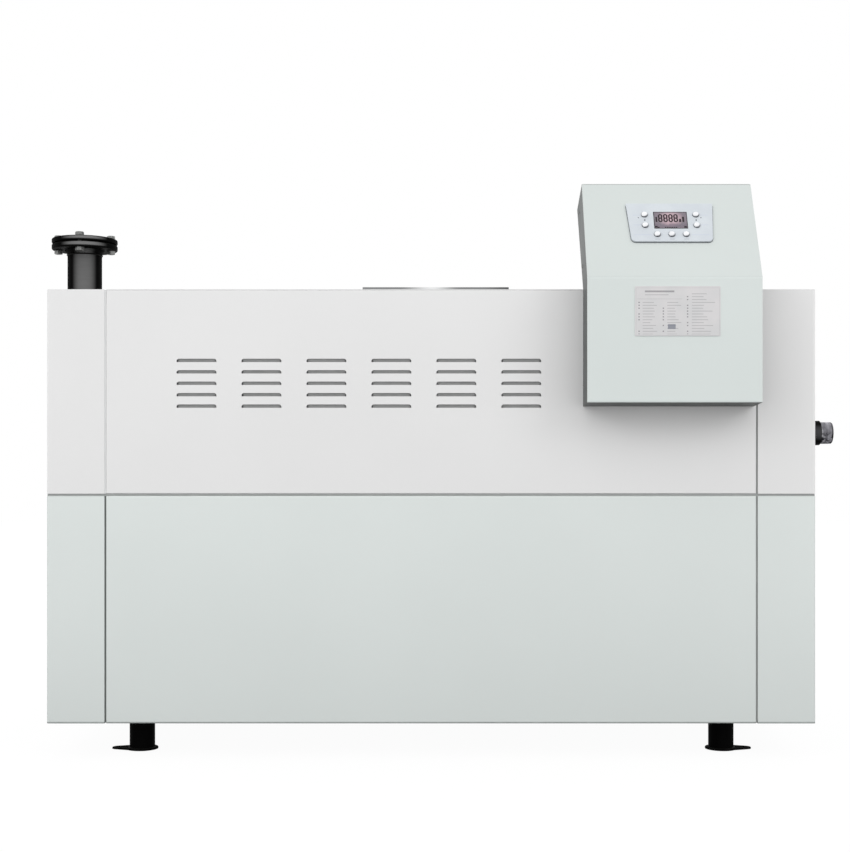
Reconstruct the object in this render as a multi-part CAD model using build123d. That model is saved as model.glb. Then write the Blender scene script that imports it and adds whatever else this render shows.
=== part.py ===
from build123d import *
import math
import os

# Industrial boiler, in millimetres. +Z is up, the operator stands on the -Y side.
# The origin is on the floor, under the middle of the four legs.

# Cabinet
CABINET_WIDTH = 2450.0
CABINET_DEPTH = 1240.0
CABINET_BOTTOM = 112.0
CABINET_HEIGHT = 1383.0
LOWER_HEIGHT = 728.0
END_PANEL_WIDTH = 187.0
UPRIGHT_SEAM = 5.6
LEVEL_SEAM = 7.6
SHEET = 2.0
LIP = 22.0
CORNER_RADIUS = 8.0
FOLD_RADIUS = 3.0
OVERRUN = 1.0

# Louvres pressed inwards in the upper front panel
LOUVRE_BANKS = 6
LOUVRE_ROWS = 5
LOUVRE_INSET = 227.4
LOUVRE_DROP = 221.1
LOUVRE_BANK_PITCH = 206.87
LOUVRE_ROW_PITCH = 36.4
LOUVRE_LENGTH = 126.8
LOUVRE_HEIGHT = 10.7
LOUVRE_CORNER = 8.0
BLADE_BEND_REACH = 3.0
BLADE_BEND_DROP = 1.2
BLADE_REACH = 8.5
BLADE_DROP = 10.3
BLADE_THICKNESS = 1.75
BLADE_BEND_THICKNESS = 1.0
BLADE_END_INSET = 4.0
BLADE_ROOT = 1.0

# Frame inside the cabinet
POST = 40.0
SIDE_BAR = 6.0
BEAM_WIDTH = 60.0
BEAM_HEIGHT = 60.0
LEG_BEAM_WIDTH = 90.0

# Legs
LEG_INSET = 269.0
LEG_SETBACK = 173.0
LEG_DIAMETER = 82.5
LEG_WALL = 4.0
LEG_HOLE_CLEARANCE = 1.25
FOOT_THICKNESS = 5.0
FOOT_RADIUS = 52.0
LUG_ROOT_RADIUS = 46.0
LUG_RADIUS = 20.0
LUG_REACH = 79.0
ANCHOR_HOLE_DIAMETER = 16.0
FOOT_EDGE = 1.0

# Heat exchanger jacket
JACKET_GAP_X = 5.0
JACKET_GAP_Y = 13.0
JACKET_ROOF_GAP = 55.0

# Flue outlet on the roof
CURB_X = 11.2
CURB_SETBACK = 500.0
CURB_SIDE = 517.0
CURB_HEIGHT = 71.2
DUCT_INNER_RADIUS = 175.0
DUCT_WALL = 3.0
DUCT_CLEARANCE = 0.3
ROOF_HOLE_CLEARANCE = 6.0

# Flow connection with its blind flange
FLOW_INSET = 89.5
FLOW_SETBACK = 130.0
FLOW_PIPE_DIAMETER = 110.0
FLOW_PIPE_WALL = 4.0
FLANGE_RISE = 142.3
FLANGE_DIAMETER = 210.0
FLANGE_THICKNESS = 18.0
BLIND_THICKNESS = 16.0
FLANGE_EDGE = 5.0
GASKET_THICKNESS = 2.6
GASKET_DIAMETER = 152.0
HUB_DIAMETER = 128.0
HUB_HEIGHT = 16.0
BOLT_CIRCLE = 170.0
BOLT_COUNT = 4
BOLT_TURN = 3.0
BOLT_HOLE_DIAMETER = 18.0
BOLT_DIAMETER = 16.0
NUT_ACROSS_FLATS = 24.0
NUT_HEIGHT = 12.0
BOLT_END = 3.0
PIPE_ROOF_CLEARANCE = 4.0

# Gas connection on the right side
GAS_SETBACK = 401.0
GAS_RISE = 208.0
GAS_PIPE_DIAMETER = 76.1
GAS_BORE_DIAMETER = 67.0
GAS_SOCKET_DIAMETER = 84.6
GAS_SOCKET_LENGTH = 60.0
GAS_SOCKET_END = 115.5
GAS_THREAD_DIAMETER = 75.2
GAS_THREAD_END = 156.5
GAS_RELIEF_LENGTH = 3.0
GAS_RELIEF_DEPTH = 1.5
GAS_EDGE = 1.5
GAS_HOLE_CLEARANCE = 4.0

# Control box, its outline given behind the cabinet front and above the roof
BOX_INSET = 199.0
BOX_WIDTH = 542.0
BOX_REACH = 137.5
BOX_FRONT_DROP = 367.0
BOX_BACK_DROP = 373.4
BOX_BEND_RISE = 20.4
BOX_TOP_FRONT = (40.0, 344.0)
BOX_TOP_BACK = (203.0, 290.0)
BOX_HEEL = (4.0, 7.0)
BOX_BACK_RISE = 1.0
BOX_COVER = 4.0
BOX_BEND_RADIUS = 16.0
BOX_FOLD = 3.0
BOX_CORNER = 6.0

# Control panel on the leaning face, measured up the slope from the bend
BEZEL_SHIFT = 1.5
BEZEL_TOP_WIDTH = 276.0
BEZEL_BOTTOM_WIDTH = 254.5
BEZEL_LOW = 133.4
BEZEL_HIGH = 284.0
BEZEL_THICKNESS = 6.0
BEZEL_LOW_RADIUS = 15.0
BEZEL_HIGH_RADIUS = 3.0
BEZEL_EDGE = 1.5
DISPLAY_WIDTH = 106.0
DISPLAY_HEIGHT = 66.0
DISPLAY_MIDDLE = 216.5
DISPLAY_DEPTH = 1.5
DISPLAY_THICKNESS = 1.8
DISPLAY_CLEARANCE = 0.2
BUTTON_RADIUS = 9.8
BUTTON_HEIGHT = 6.0
BUTTON_ROUND = 3.0
SIDE_BUTTON_OFFSET = 81.3
SIDE_BUTTON_HEIGHTS = (196.2, 238.2)
LOW_BUTTON_PITCH = 45.4
LOW_BUTTON_HEIGHT = 160.5

# Label plate on the upright face and the screws in the box sides
LABEL_SHIFT = 8.0
LABEL_WIDTH = 265.0
LABEL_DROP = 182.3
LABEL_HEIGHT = 154.4
LABEL_THICKNESS = 1.5
LABEL_CORNER = 4.0
SCREW_RADIUS = 6.0
SCREW_HEIGHT = 3.0
SCREW_PLACES = ((137.0, 269.0), (12.0, 75.0), (-27.0, -28.0), (-27.0, -307.0))

# Derived places
HALF_W = CABINET_WIDTH / 2
HALF_D = CABINET_DEPTH / 2
ROOF_Z = CABINET_BOTTOM + CABINET_HEIGHT
MIDDLE_SEAM_Z = CABINET_BOTTOM + LOWER_HEIGHT
PANEL_TOP = ROOF_Z - SHEET
SEAM_X = HALF_W - END_PANEL_WIDTH
FRAME_X = HALF_W - LIP
FRAME_Y = HALF_D - LIP
LEG_X = HALF_W - LEG_INSET
LEG_Y = HALF_D - LEG_SETBACK
LEG_TOP = CABINET_BOTTOM + SHEET
DECK_Z = LEG_TOP + BEAM_HEIGHT
JACKET_X = FRAME_X - SIDE_BAR - JACKET_GAP_X
JACKET_Y = FRAME_Y - POST - JACKET_GAP_Y
JACKET_TOP = ROOF_Z - JACKET_ROOF_GAP
CURB_Y = CURB_SETBACK + CURB_SIDE / 2 - HALF_D
CURB_TOP = ROOF_Z + CURB_HEIGHT
DUCT_RADIUS = DUCT_INNER_RADIUS + DUCT_WALL
FLOW_X = FLOW_INSET - HALF_W
FLOW_Y = FLOW_SETBACK - HALF_D
FLANGE_BOTTOM_Z = ROOF_Z + FLANGE_RISE
GAS_Y = GAS_SETBACK - HALF_D
GAS_Z = MIDDLE_SEAM_Z + GAS_RISE
BOX_RIGHT = HALF_W - BOX_INSET
BOX_LEFT = BOX_RIGHT - BOX_WIDTH
BOX_X = (BOX_LEFT + BOX_RIGHT) / 2
BOX_BEND_Z = ROOF_Z + BOX_BEND_RISE

nodes = {}


def block(x, y, z):
    """Box between two values on each axis."""
    middle = Pos((x[0] + x[1]) / 2, (y[0] + y[1]) / 2, (z[0] + z[1]) / 2)
    return middle * Box(abs(x[1] - x[0]), abs(y[1] - y[0]), abs(z[1] - z[0]))


def rod(place, radius, z):
    """Upright cylinder between two heights."""
    return Pos(place[0], place[1], (z[0] + z[1]) / 2) * Cylinder(radius, abs(z[1] - z[0]))


def level_rod(y, z, radius, x):
    """Cylinder along X between two values of x."""
    turn = Rotation(0, 90, 0)
    return Pos((x[0] + x[1]) / 2, y, z) * turn * Cylinder(radius, abs(x[1] - x[0]))


def prism(points, x):
    """Solid with a Y, Z outline between two values of x."""
    outline = Polyline(*[(x[0], p[0], p[1]) for p in points], close=True)
    return extrude(make_face(outline), amount=x[1] - x[0], dir=(1, 0, 0))


def inset(points, depths):
    """Moves each edge of an outline inwards by its own depth."""
    count = len(points)
    area = 0.0
    for i in range(count):
        a = points[i]
        b = points[(i + 1) % count]
        area += a[0] * b[1] - b[0] * a[1]
    turn = 1.0 if area > 0 else -1.0
    lines = []
    for i in range(count):
        a = points[i]
        b = points[(i + 1) % count]
        length = math.hypot(b[0] - a[0], b[1] - a[1])
        along = ((b[0] - a[0]) / length, (b[1] - a[1]) / length)
        inward = (-along[1] * turn, along[0] * turn)
        lines.append(((a[0] + inward[0] * depths[i], a[1] + inward[1] * depths[i]), along))
    moved = []
    for i in range(count):
        (p, u) = lines[i - 1]
        (q, v) = lines[i]
        cross = u[0] * v[1] - u[1] * v[0]
        t = ((q[0] - p[0]) * v[1] - (q[1] - p[1]) * v[0]) / cross
        moved.append((p[0] + u[0] * t, p[1] + u[1] * t))
    return moved


def tray_panel(x, z, side):
    """Folded panel on the front (side -1) or the rear (side 1), open towards the frame."""
    face_y = side * HALF_D
    back_y = side * FRAME_Y
    outer = block(x, (face_y, back_y), z)
    face_edges = outer.faces().sort_by(Axis.Y)[0 if side < 0 else -1].edges()
    outer = fillet(face_edges, FOLD_RADIUS)
    inside = (side * (HALF_D - SHEET), side * (FRAME_Y - OVERRUN))
    hollow = block((x[0] + SHEET, x[1] - SHEET), inside, (z[0] + SHEET, z[1] - SHEET))
    return outer - hollow


def end_panel(side, z):
    """Folded panel that covers one end and turns round both corners of the cabinet."""
    outer_x = side * HALF_W
    seam_x = side * (SEAM_X + UPRIGHT_SEAM / 2)
    outer = block((outer_x, seam_x), (-HALF_D, HALF_D), z)
    corners = outer.edges().filter_by(Axis.Z).sort_by(Axis.X)
    outer = fillet(corners[:2] if side < 0 else corners[2:], CORNER_RADIUS)
    inner = block((side * (HALF_W - SHEET), seam_x + side * SHEET),
                  (-HALF_D + SHEET, HALF_D - SHEET), (z[0] + SHEET, z[1] - SHEET))
    corners = inner.edges().filter_by(Axis.Z).sort_by(Axis.X)
    inner = fillet(corners[:2] if side < 0 else corners[2:], CORNER_RADIUS - SHEET)
    through = block((side * FRAME_X, seam_x - side * OVERRUN), (-FRAME_Y, FRAME_Y),
                    (z[0] - OVERRUN, z[1] + OVERRUN))
    return outer - inner - through


def louvre_slot(left, top):
    """Cutter for one louvre opening, with its two upper corners rounded."""
    cutter = block((left, left + LOUVRE_LENGTH), (-HALF_D - OVERRUN, -HALF_D + SHEET + OVERRUN),
                   (top - LOUVRE_HEIGHT, top))
    corners = cutter.edges().filter_by(Axis.Y).sort_by(Axis.Z)[2:]
    return fillet(corners, LOUVRE_CORNER)


def louvre_blade(left, top):
    """Blade bent inwards at the upper edge of a slot and then down behind the slot."""
    front = -HALF_D
    bend = front + BLADE_BEND_REACH
    end = front + BLADE_REACH
    outline = [(front, top), (bend, top - BLADE_BEND_DROP), (end, top - BLADE_DROP),
               (end + BLADE_THICKNESS, top - BLADE_DROP), (bend + BLADE_BEND_THICKNESS, top),
               (front + SHEET, top + BLADE_ROOT), (front, top + BLADE_ROOT)]
    return prism(outline, (left + BLADE_END_INSET, left + LOUVRE_LENGTH - BLADE_END_INSET))


def build_legs():
    names = {(-1, -1): "front_left", (1, -1): "front_right", (-1, 1): "rear_left", (1, 1): "rear_right"}
    for (sx, sy), name in names.items():
        place = (sx * LEG_X, sy * LEG_Y)
        tube = rod(place, LEG_DIAMETER / 2, (FOOT_THICKNESS, LEG_TOP))
        tube -= rod(place, LEG_DIAMETER / 2 - LEG_WALL, (FOOT_THICKNESS, LEG_TOP))
        nodes["leg_" + name] = tube
        lug_x = place[0] + sx * LUG_REACH
        ends = Pos(place[0], place[1]) * Circle(LUG_ROOT_RADIUS)
        ends += Pos(lug_x, place[1]) * Circle(LUG_RADIUS)
        shape = make_hull(ends.edges()) + Pos(place[0], place[1]) * Circle(FOOT_RADIUS)
        plate = extrude(shape, amount=FOOT_THICKNESS)
        plate = chamfer(plate.edges().group_by(Axis.Z)[-1], FOOT_EDGE)
        plate -= rod((lug_x, place[1]), ANCHOR_HOLE_DIAMETER / 2, (-OVERRUN, FOOT_THICKNESS + OVERRUN))
        nodes["foot_plate_" + name] = plate


def build_base():
    beams = []
    for side in (-1, 1):
        beams.append(block((-FRAME_X, FRAME_X), (side * FRAME_Y, side * (FRAME_Y - BEAM_WIDTH)),
                           (LEG_TOP, DECK_Z)))
    nodes["base_long_beams"] = beams
    inner_y = FRAME_Y - BEAM_WIDTH
    end_x = FRAME_X - BEAM_WIDTH / 2
    cross = []
    for x, width in ((-end_x, BEAM_WIDTH), (-LEG_X, LEG_BEAM_WIDTH), (0.0, BEAM_WIDTH),
                     (LEG_X, LEG_BEAM_WIDTH), (end_x, BEAM_WIDTH)):
        cross.append(block((x - width / 2, x + width / 2), (-inner_y, inner_y), (LEG_TOP, DECK_Z)))
    nodes["base_cross_beams"] = cross
    floor = block((-FRAME_X, FRAME_X), (-FRAME_Y, FRAME_Y), (CABINET_BOTTOM, LEG_TOP))
    for sx in (-1, 1):
        for sy in (-1, 1):
            floor -= rod((sx * LEG_X, sy * LEG_Y), LEG_DIAMETER / 2 + LEG_HOLE_CLEARANCE,
                         (CABINET_BOTTOM - OVERRUN, LEG_TOP + OVERRUN))
    nodes["floor_panel"] = floor


def build_frame():
    corner = []
    seam = []
    for sy in (-1, 1):
        y = (sy * FRAME_Y, sy * (FRAME_Y - POST))
        for sx in (-1, 1):
            corner.append(block((sx * FRAME_X, sx * (FRAME_X - POST)), y, (DECK_Z, PANEL_TOP)))
            seam.append(block((sx * SEAM_X - POST / 2, sx * SEAM_X + POST / 2), y, (DECK_Z, PANEL_TOP)))
    nodes["corner_posts"] = corner
    nodes["seam_posts"] = seam
    for name, z in (("top_rails", (PANEL_TOP - POST, PANEL_TOP)),
                    ("middle_rails", (MIDDLE_SEAM_Z - POST / 2, MIDDLE_SEAM_Z + POST / 2))):
        rails = []
        for sy in (-1, 1):
            y = (sy * FRAME_Y, sy * (FRAME_Y - POST))
            rails.append(block((-SEAM_X + POST / 2, SEAM_X - POST / 2), y, z))
            for sx in (-1, 1):
                rails.append(block((sx * (SEAM_X + POST / 2), sx * (FRAME_X - POST)), y, z))
        for sx in (-1, 1):
            rails.append(block((sx * FRAME_X, sx * (FRAME_X - SIDE_BAR)),
                               (-FRAME_Y + POST, FRAME_Y - POST), z))
        nodes[name] = rails
    bars = []
    for sx in (-1, 1):
        bars.append(block((sx * SEAM_X - POST / 2, sx * SEAM_X + POST / 2),
                          (-FRAME_Y + POST, FRAME_Y - POST), (PANEL_TOP - POST, PANEL_TOP)))
    nodes["roof_bars"] = bars


def build_panels():
    centre = (-SEAM_X + UPRIGHT_SEAM / 2, SEAM_X - UPRIGHT_SEAM / 2)
    upper = (MIDDLE_SEAM_Z + LEVEL_SEAM / 2, PANEL_TOP)
    lower = (CABINET_BOTTOM, MIDDLE_SEAM_Z - LEVEL_SEAM / 2)
    front = tray_panel(centre, upper, -1)
    slots = []
    blades = []
    for bank in range(LOUVRE_BANKS):
        left = -SEAM_X + LOUVRE_INSET + bank * LOUVRE_BANK_PITCH
        for row in range(LOUVRE_ROWS):
            top = ROOF_Z - LOUVRE_DROP - row * LOUVRE_ROW_PITCH
            slots.append(louvre_slot(left, top))
            blades.append(louvre_blade(left, top))
    nodes["front_upper_panel"] = (front - slots) + blades
    nodes["front_lower_panel"] = tray_panel(centre, lower, -1)
    nodes["rear_upper_panel"] = tray_panel(centre, upper, 1)
    nodes["rear_lower_panel"] = tray_panel(centre, lower, 1)
    nodes["left_end_upper_panel"] = end_panel(-1, upper)
    nodes["left_end_lower_panel"] = end_panel(-1, lower)
    gas_hole = level_rod(GAS_Y, GAS_Z, GAS_PIPE_DIAMETER / 2 + GAS_HOLE_CLEARANCE,
                         (FRAME_X, HALF_W + OVERRUN))
    nodes["right_end_upper_panel"] = end_panel(1, upper) - gas_hole
    nodes["right_end_lower_panel"] = end_panel(1, lower)


def build_roof():
    y = (-HALF_D, HALF_D)
    z = (PANEL_TOP, ROOF_Z)
    cut = (PANEL_TOP - OVERRUN, ROOF_Z + OVERRUN)
    inner = SEAM_X - UPRIGHT_SEAM / 2
    outer = SEAM_X + UPRIGHT_SEAM / 2
    left = block((-HALF_W, -outer), y, z)
    left = fillet(left.edges().filter_by(Axis.Z).sort_by(Axis.X)[:2], CORNER_RADIUS)
    left -= rod((FLOW_X, FLOW_Y), FLOW_PIPE_DIAMETER / 2 + PIPE_ROOF_CLEARANCE, cut)
    nodes["roof_left_panel"] = left
    centre = block((-inner, inner), y, z)
    centre -= rod((CURB_X, CURB_Y), DUCT_RADIUS + ROOF_HOLE_CLEARANCE, cut)
    nodes["roof_centre_panel"] = centre
    right = block((outer, HALF_W), y, z)
    nodes["roof_right_panel"] = fillet(right.edges().filter_by(Axis.Z).sort_by(Axis.X)[2:], CORNER_RADIUS)


def build_jacket_and_flue():
    nodes["heat_exchanger_jacket"] = block((-JACKET_X, JACKET_X), (-JACKET_Y, JACKET_Y), (DECK_Z, JACKET_TOP))
    half = CURB_SIDE / 2
    curb = block((CURB_X - half, CURB_X + half), (CURB_Y - half, CURB_Y + half), (ROOF_Z, CURB_TOP))
    curb = fillet(curb.edges().filter_by(Axis.Z), FOLD_RADIUS)
    half -= SHEET
    curb -= block((CURB_X - half, CURB_X + half), (CURB_Y - half, CURB_Y + half),
                  (ROOF_Z - OVERRUN, CURB_TOP - SHEET))
    curb -= rod((CURB_X, CURB_Y), DUCT_RADIUS + DUCT_CLEARANCE, (ROOF_Z, CURB_TOP + OVERRUN))
    nodes["flue_curb"] = curb
    duct = rod((CURB_X, CURB_Y), DUCT_RADIUS, (JACKET_TOP, CURB_TOP))
    nodes["flue_duct"] = duct - rod((CURB_X, CURB_Y), DUCT_INNER_RADIUS, (JACKET_TOP, CURB_TOP))


def bolt_places():
    reach = BOLT_CIRCLE / 2
    places = []
    for k in range(BOLT_COUNT):
        angle = math.radians(BOLT_TURN) + 2 * math.pi * k / BOLT_COUNT
        places.append((FLOW_X + reach * math.cos(angle), FLOW_Y + reach * math.sin(angle)))
    return places


def build_flow_connection():
    place = (FLOW_X, FLOW_Y)
    bore = FLOW_PIPE_DIAMETER / 2 - FLOW_PIPE_WALL
    hub_bottom = FLANGE_BOTTOM_Z - HUB_HEIGHT
    pipe = rod(place, FLOW_PIPE_DIAMETER / 2, (JACKET_TOP, hub_bottom))
    nodes["flow_pipe"] = pipe - rod(place, bore, (JACKET_TOP, hub_bottom))
    flange_top = FLANGE_BOTTOM_Z + FLANGE_THICKNESS
    gasket_top = flange_top + GASKET_THICKNESS
    blind_top = gasket_top + BLIND_THICKNESS
    flange = rod(place, FLANGE_DIAMETER / 2, (FLANGE_BOTTOM_Z, flange_top))
    hub = Pos(FLOW_X, FLOW_Y, (hub_bottom + FLANGE_BOTTOM_Z) / 2) * Cone(
        FLOW_PIPE_DIAMETER / 2, HUB_DIAMETER / 2, HUB_HEIGHT)
    flange = fillet(flange.edges().filter_by(GeomType.CIRCLE), FLANGE_EDGE)
    flange = flange + hub - rod(place, bore, (hub_bottom - OVERRUN, flange_top + OVERRUN))
    blind = rod(place, FLANGE_DIAMETER / 2, (gasket_top, blind_top))
    blind = fillet(blind.edges().filter_by(GeomType.CIRCLE), FLANGE_EDGE)
    for spot in bolt_places():
        flange -= rod(spot, BOLT_HOLE_DIAMETER / 2, (FLANGE_BOTTOM_Z - OVERRUN, flange_top + OVERRUN))
        blind -= rod(spot, BOLT_HOLE_DIAMETER / 2, (gasket_top - OVERRUN, blind_top + OVERRUN))
    nodes["flow_flange"] = flange
    gasket = rod(place, GASKET_DIAMETER / 2, (flange_top, gasket_top))
    nodes["flange_gasket"] = gasket - rod(place, bore, (flange_top, gasket_top))
    nodes["blind_flange"] = blind
    bolts = []
    nut = RegularPolygon(NUT_ACROSS_FLATS / 2, 6, major_radius=False)
    for spot in bolt_places():
        bolt = rod(spot, BOLT_DIAMETER / 2,
                   (FLANGE_BOTTOM_Z - NUT_HEIGHT - BOLT_END, blind_top + NUT_HEIGHT + BOLT_END))
        bolt += extrude(Pos(spot[0], spot[1], blind_top) * nut, amount=NUT_HEIGHT)
        bolt += extrude(Pos(spot[0], spot[1], FLANGE_BOTTOM_Z - NUT_HEIGHT) * nut, amount=NUT_HEIGHT)
        bolts.append(bolt)
    nodes["flange_bolts"] = bolts


def build_gas_connection():
    socket_end = HALF_W + GAS_SOCKET_END
    thread_start = socket_end + GAS_RELIEF_LENGTH
    thread_end = HALF_W + GAS_THREAD_END
    bore = level_rod(GAS_Y, GAS_Z, GAS_BORE_DIAMETER / 2, (JACKET_X, thread_end + OVERRUN))
    pipe = level_rod(GAS_Y, GAS_Z, GAS_PIPE_DIAMETER / 2, (JACKET_X, socket_end))
    socket = level_rod(GAS_Y, GAS_Z, GAS_SOCKET_DIAMETER / 2, (socket_end - GAS_SOCKET_LENGTH, socket_end))
    socket = chamfer(socket.edges(), GAS_EDGE)
    nodes["gas_pipe"] = pipe - bore
    nodes["gas_socket"] = socket - pipe
    nipple = level_rod(GAS_Y, GAS_Z, GAS_THREAD_DIAMETER / 2, (thread_start, thread_end))
    nipple = chamfer(nipple.edges().sort_by(Axis.X)[-1], GAS_EDGE)
    nipple += level_rod(GAS_Y, GAS_Z, GAS_THREAD_DIAMETER / 2 - GAS_RELIEF_DEPTH, (socket_end, thread_start))
    nodes["gas_nipple"] = nipple - bore


def box_outline():
    """Side view of the control box as Y and Z, from the lower front corner upwards."""
    places = [(-BOX_REACH, -BOX_FRONT_DROP), (-BOX_REACH, BOX_BEND_RISE), BOX_TOP_FRONT, BOX_TOP_BACK,
              BOX_HEEL, (0.0, BOX_BACK_RISE), (0.0, -BOX_BACK_DROP)]
    return [(behind - HALF_D, ROOF_Z + rise) for behind, rise in places]


def round_edge(solid, corner, radius):
    """Rounds the edge along X that passes nearest to a Y, Z corner."""
    edges = solid.edges().filter_by(Axis.X)
    nearest = min(edges, key=lambda e: math.hypot(e.center().Y - corner[0], e.center().Z - corner[1]))
    return fillet(nearest, radius)


def lean_angle():
    return math.atan2(BOX_TOP_FRONT[0] + BOX_REACH, BOX_TOP_FRONT[1] - BOX_BEND_RISE)


def cover_depth(point):
    """How far a point lies behind the outer skin of the control box cover."""
    forward = point.Y + BOX_REACH + HALF_D
    lean = lean_angle()
    return min(forward, forward * math.cos(lean) - (point.Z - BOX_BEND_Z) * math.sin(lean))


def cover_rim(cover):
    """Outer edges of the cover, without the two lines where the bend starts and ends."""
    rim = []
    for edge in cover.edges():
        middle = edge.center()
        bend_line = abs(middle.X - BOX_X) < OVERRUN and abs(middle.Z - BOX_BEND_Z) < BOX_BEND_RADIUS
        if cover_depth(middle) < BOX_COVER / 2 and not bend_line:
            rim.append(edge)
    return rim


def build_control_box():
    outline = box_outline()
    x = (BOX_LEFT, BOX_RIGHT)
    body_line = inset(outline, [BOX_COVER, BOX_COVER, 0, 0, 0, 0, 0])
    hollow_line = inset(outline, [0, 0, SHEET, SHEET, SHEET, SHEET, SHEET])
    body = round_edge(prism(body_line, x), body_line[1], BOX_BEND_RADIUS - BOX_COVER)
    body = round_edge(body, body_line[3], FOLD_RADIUS)
    body = round_edge(body, body_line[6], FOLD_RADIUS)
    nodes["control_box_body"] = body - prism(hollow_line, (x[0] + SHEET, x[1] - SHEET))
    cover_line = [outline[0], outline[1], outline[2], body_line[2], body_line[1], body_line[0]]
    cover = round_edge(prism(cover_line, x), outline[1], BOX_BEND_RADIUS)
    cover = round_edge(cover, body_line[1], BOX_BEND_RADIUS - BOX_COVER)
    upper = [e for e in cover.edges() if abs(abs(e.center().X - BOX_X) - BOX_WIDTH / 2) < OVERRUN
             and e.length < 2 * BOX_COVER and e.center().Z > BOX_BEND_Z + BOX_BEND_RADIUS]
    cover = fillet(upper, BOX_CORNER)
    nodes["control_box_cover"] = fillet(cover_rim(cover), BOX_FOLD)


def slope_plane():
    lean = lean_angle()
    return Plane(origin=(BOX_X, -BOX_REACH - HALF_D, BOX_BEND_Z), x_dir=(1, 0, 0),
                 z_dir=(0, -math.cos(lean), math.sin(lean)))


def build_control_panel():
    slope = slope_plane()
    top = BEZEL_TOP_WIDTH / 2
    low = BEZEL_BOTTOM_WIDTH / 2
    line = Polyline((BEZEL_SHIFT - low, BEZEL_LOW), (BEZEL_SHIFT + low, BEZEL_LOW),
                    (BEZEL_SHIFT + top, BEZEL_HIGH), (BEZEL_SHIFT - top, BEZEL_HIGH), close=True)
    bezel = extrude(make_face(line), amount=BEZEL_THICKNESS)
    upright = bezel.edges().filter_by(Axis.Z).sort_by(Axis.Y)
    bezel = fillet(upright[:2], BEZEL_LOW_RADIUS)
    upright = bezel.edges().filter_by(Axis.Z).sort_by(Axis.Y)
    bezel = fillet(upright[-2:], BEZEL_HIGH_RADIUS)
    bezel = fillet(bezel.faces().sort_by(Axis.Z)[-1].edges(), BEZEL_EDGE)
    pocket = Box(DISPLAY_WIDTH + 2 * DISPLAY_CLEARANCE, DISPLAY_HEIGHT + 2 * DISPLAY_CLEARANCE,
                 2 * DISPLAY_DEPTH)
    bezel -= Pos(BEZEL_SHIFT, DISPLAY_MIDDLE, BEZEL_THICKNESS) * pocket
    nodes["control_bezel"] = slope * bezel
    floor = BEZEL_THICKNESS - DISPLAY_DEPTH
    window = Pos(BEZEL_SHIFT, DISPLAY_MIDDLE, floor + DISPLAY_THICKNESS / 2) * Box(
        DISPLAY_WIDTH, DISPLAY_HEIGHT, DISPLAY_THICKNESS)
    nodes["display_window"] = slope * window
    button = Pos(0, 0, BEZEL_THICKNESS + BUTTON_HEIGHT / 2) * Cylinder(BUTTON_RADIUS, BUTTON_HEIGHT)
    button = fillet(button.edges().sort_by(Axis.Z)[-1], BUTTON_ROUND)
    places = [(BEZEL_SHIFT + sx * SIDE_BUTTON_OFFSET, v) for sx in (-1, 1) for v in SIDE_BUTTON_HEIGHTS]
    places += [(BEZEL_SHIFT + k * LOW_BUTTON_PITCH, LOW_BUTTON_HEIGHT) for k in (-1, 0, 1)]
    nodes["control_buttons"] = [slope * (Pos(u, v, 0) * button) for u, v in places]


def build_label_and_screws():
    face = -BOX_REACH - HALF_D
    middle = BOX_X + LABEL_SHIFT
    low = BOX_BEND_Z - LABEL_DROP
    label = block((middle - LABEL_WIDTH / 2, middle + LABEL_WIDTH / 2), (face - LABEL_THICKNESS, face),
                  (low, low + LABEL_HEIGHT))
    nodes["label_plate"] = fillet(label.edges().filter_by(Axis.Y), LABEL_CORNER)
    screws = []
    for side_x, out in ((BOX_LEFT, -1), (BOX_RIGHT, 1)):
        for behind, rise in SCREW_PLACES:
            screws.append(level_rod(behind - HALF_D, ROOF_Z + rise, SCREW_RADIUS,
                                    (side_x, side_x + out * SCREW_HEIGHT)))
    nodes["control_box_screws"] = screws


build_legs()
build_base()
build_frame()
build_panels()
build_roof()
build_jacket_and_flue()
build_flow_connection()
build_gas_connection()
build_control_box()
build_control_panel()
build_label_and_screws()

os.makedirs("parts", exist_ok=True)
for name, shape in nodes.items():
    solids = shape if isinstance(shape, list) else shape.solids()
    body = Compound(children=[s for part in solids for s in part.solids()]) if len(solids) > 1 else shape
    export_step(body, "parts/" + name + ".step")
    size = body.bounding_box().size
    print(name, len(body.solids()), [round(v, 1) for v in (size.X, size.Y, size.Z)])
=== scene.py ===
import math

import bmesh
import bpy
from mathutils import Matrix, Vector


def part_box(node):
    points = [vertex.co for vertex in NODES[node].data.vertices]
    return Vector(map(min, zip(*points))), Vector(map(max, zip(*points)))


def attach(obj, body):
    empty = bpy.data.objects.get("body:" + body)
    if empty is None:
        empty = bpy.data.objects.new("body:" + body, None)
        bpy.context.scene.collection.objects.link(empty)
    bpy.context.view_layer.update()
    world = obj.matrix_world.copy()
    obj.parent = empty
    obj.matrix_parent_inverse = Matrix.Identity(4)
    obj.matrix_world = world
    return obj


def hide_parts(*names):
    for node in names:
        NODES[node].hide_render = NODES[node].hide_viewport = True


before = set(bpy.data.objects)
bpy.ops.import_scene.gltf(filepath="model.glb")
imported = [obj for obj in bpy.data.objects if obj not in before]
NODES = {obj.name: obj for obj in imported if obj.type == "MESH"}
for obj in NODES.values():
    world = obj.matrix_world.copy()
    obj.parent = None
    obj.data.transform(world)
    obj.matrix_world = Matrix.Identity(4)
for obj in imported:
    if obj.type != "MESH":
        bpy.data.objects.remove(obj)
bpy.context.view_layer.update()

# Floor-standing industrial boiler. Metres, +Z up, the operator stands on the -Y side.
# Powder-coated cabinet and control box, black pipework, zinc-plated fasteners.

FULL_TURN = 2 * math.pi
MM = 0.001
UP = (0.0, 0.0, 1.0)

# How far a small piece is set into what carries it
SINK = 0.0002

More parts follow.
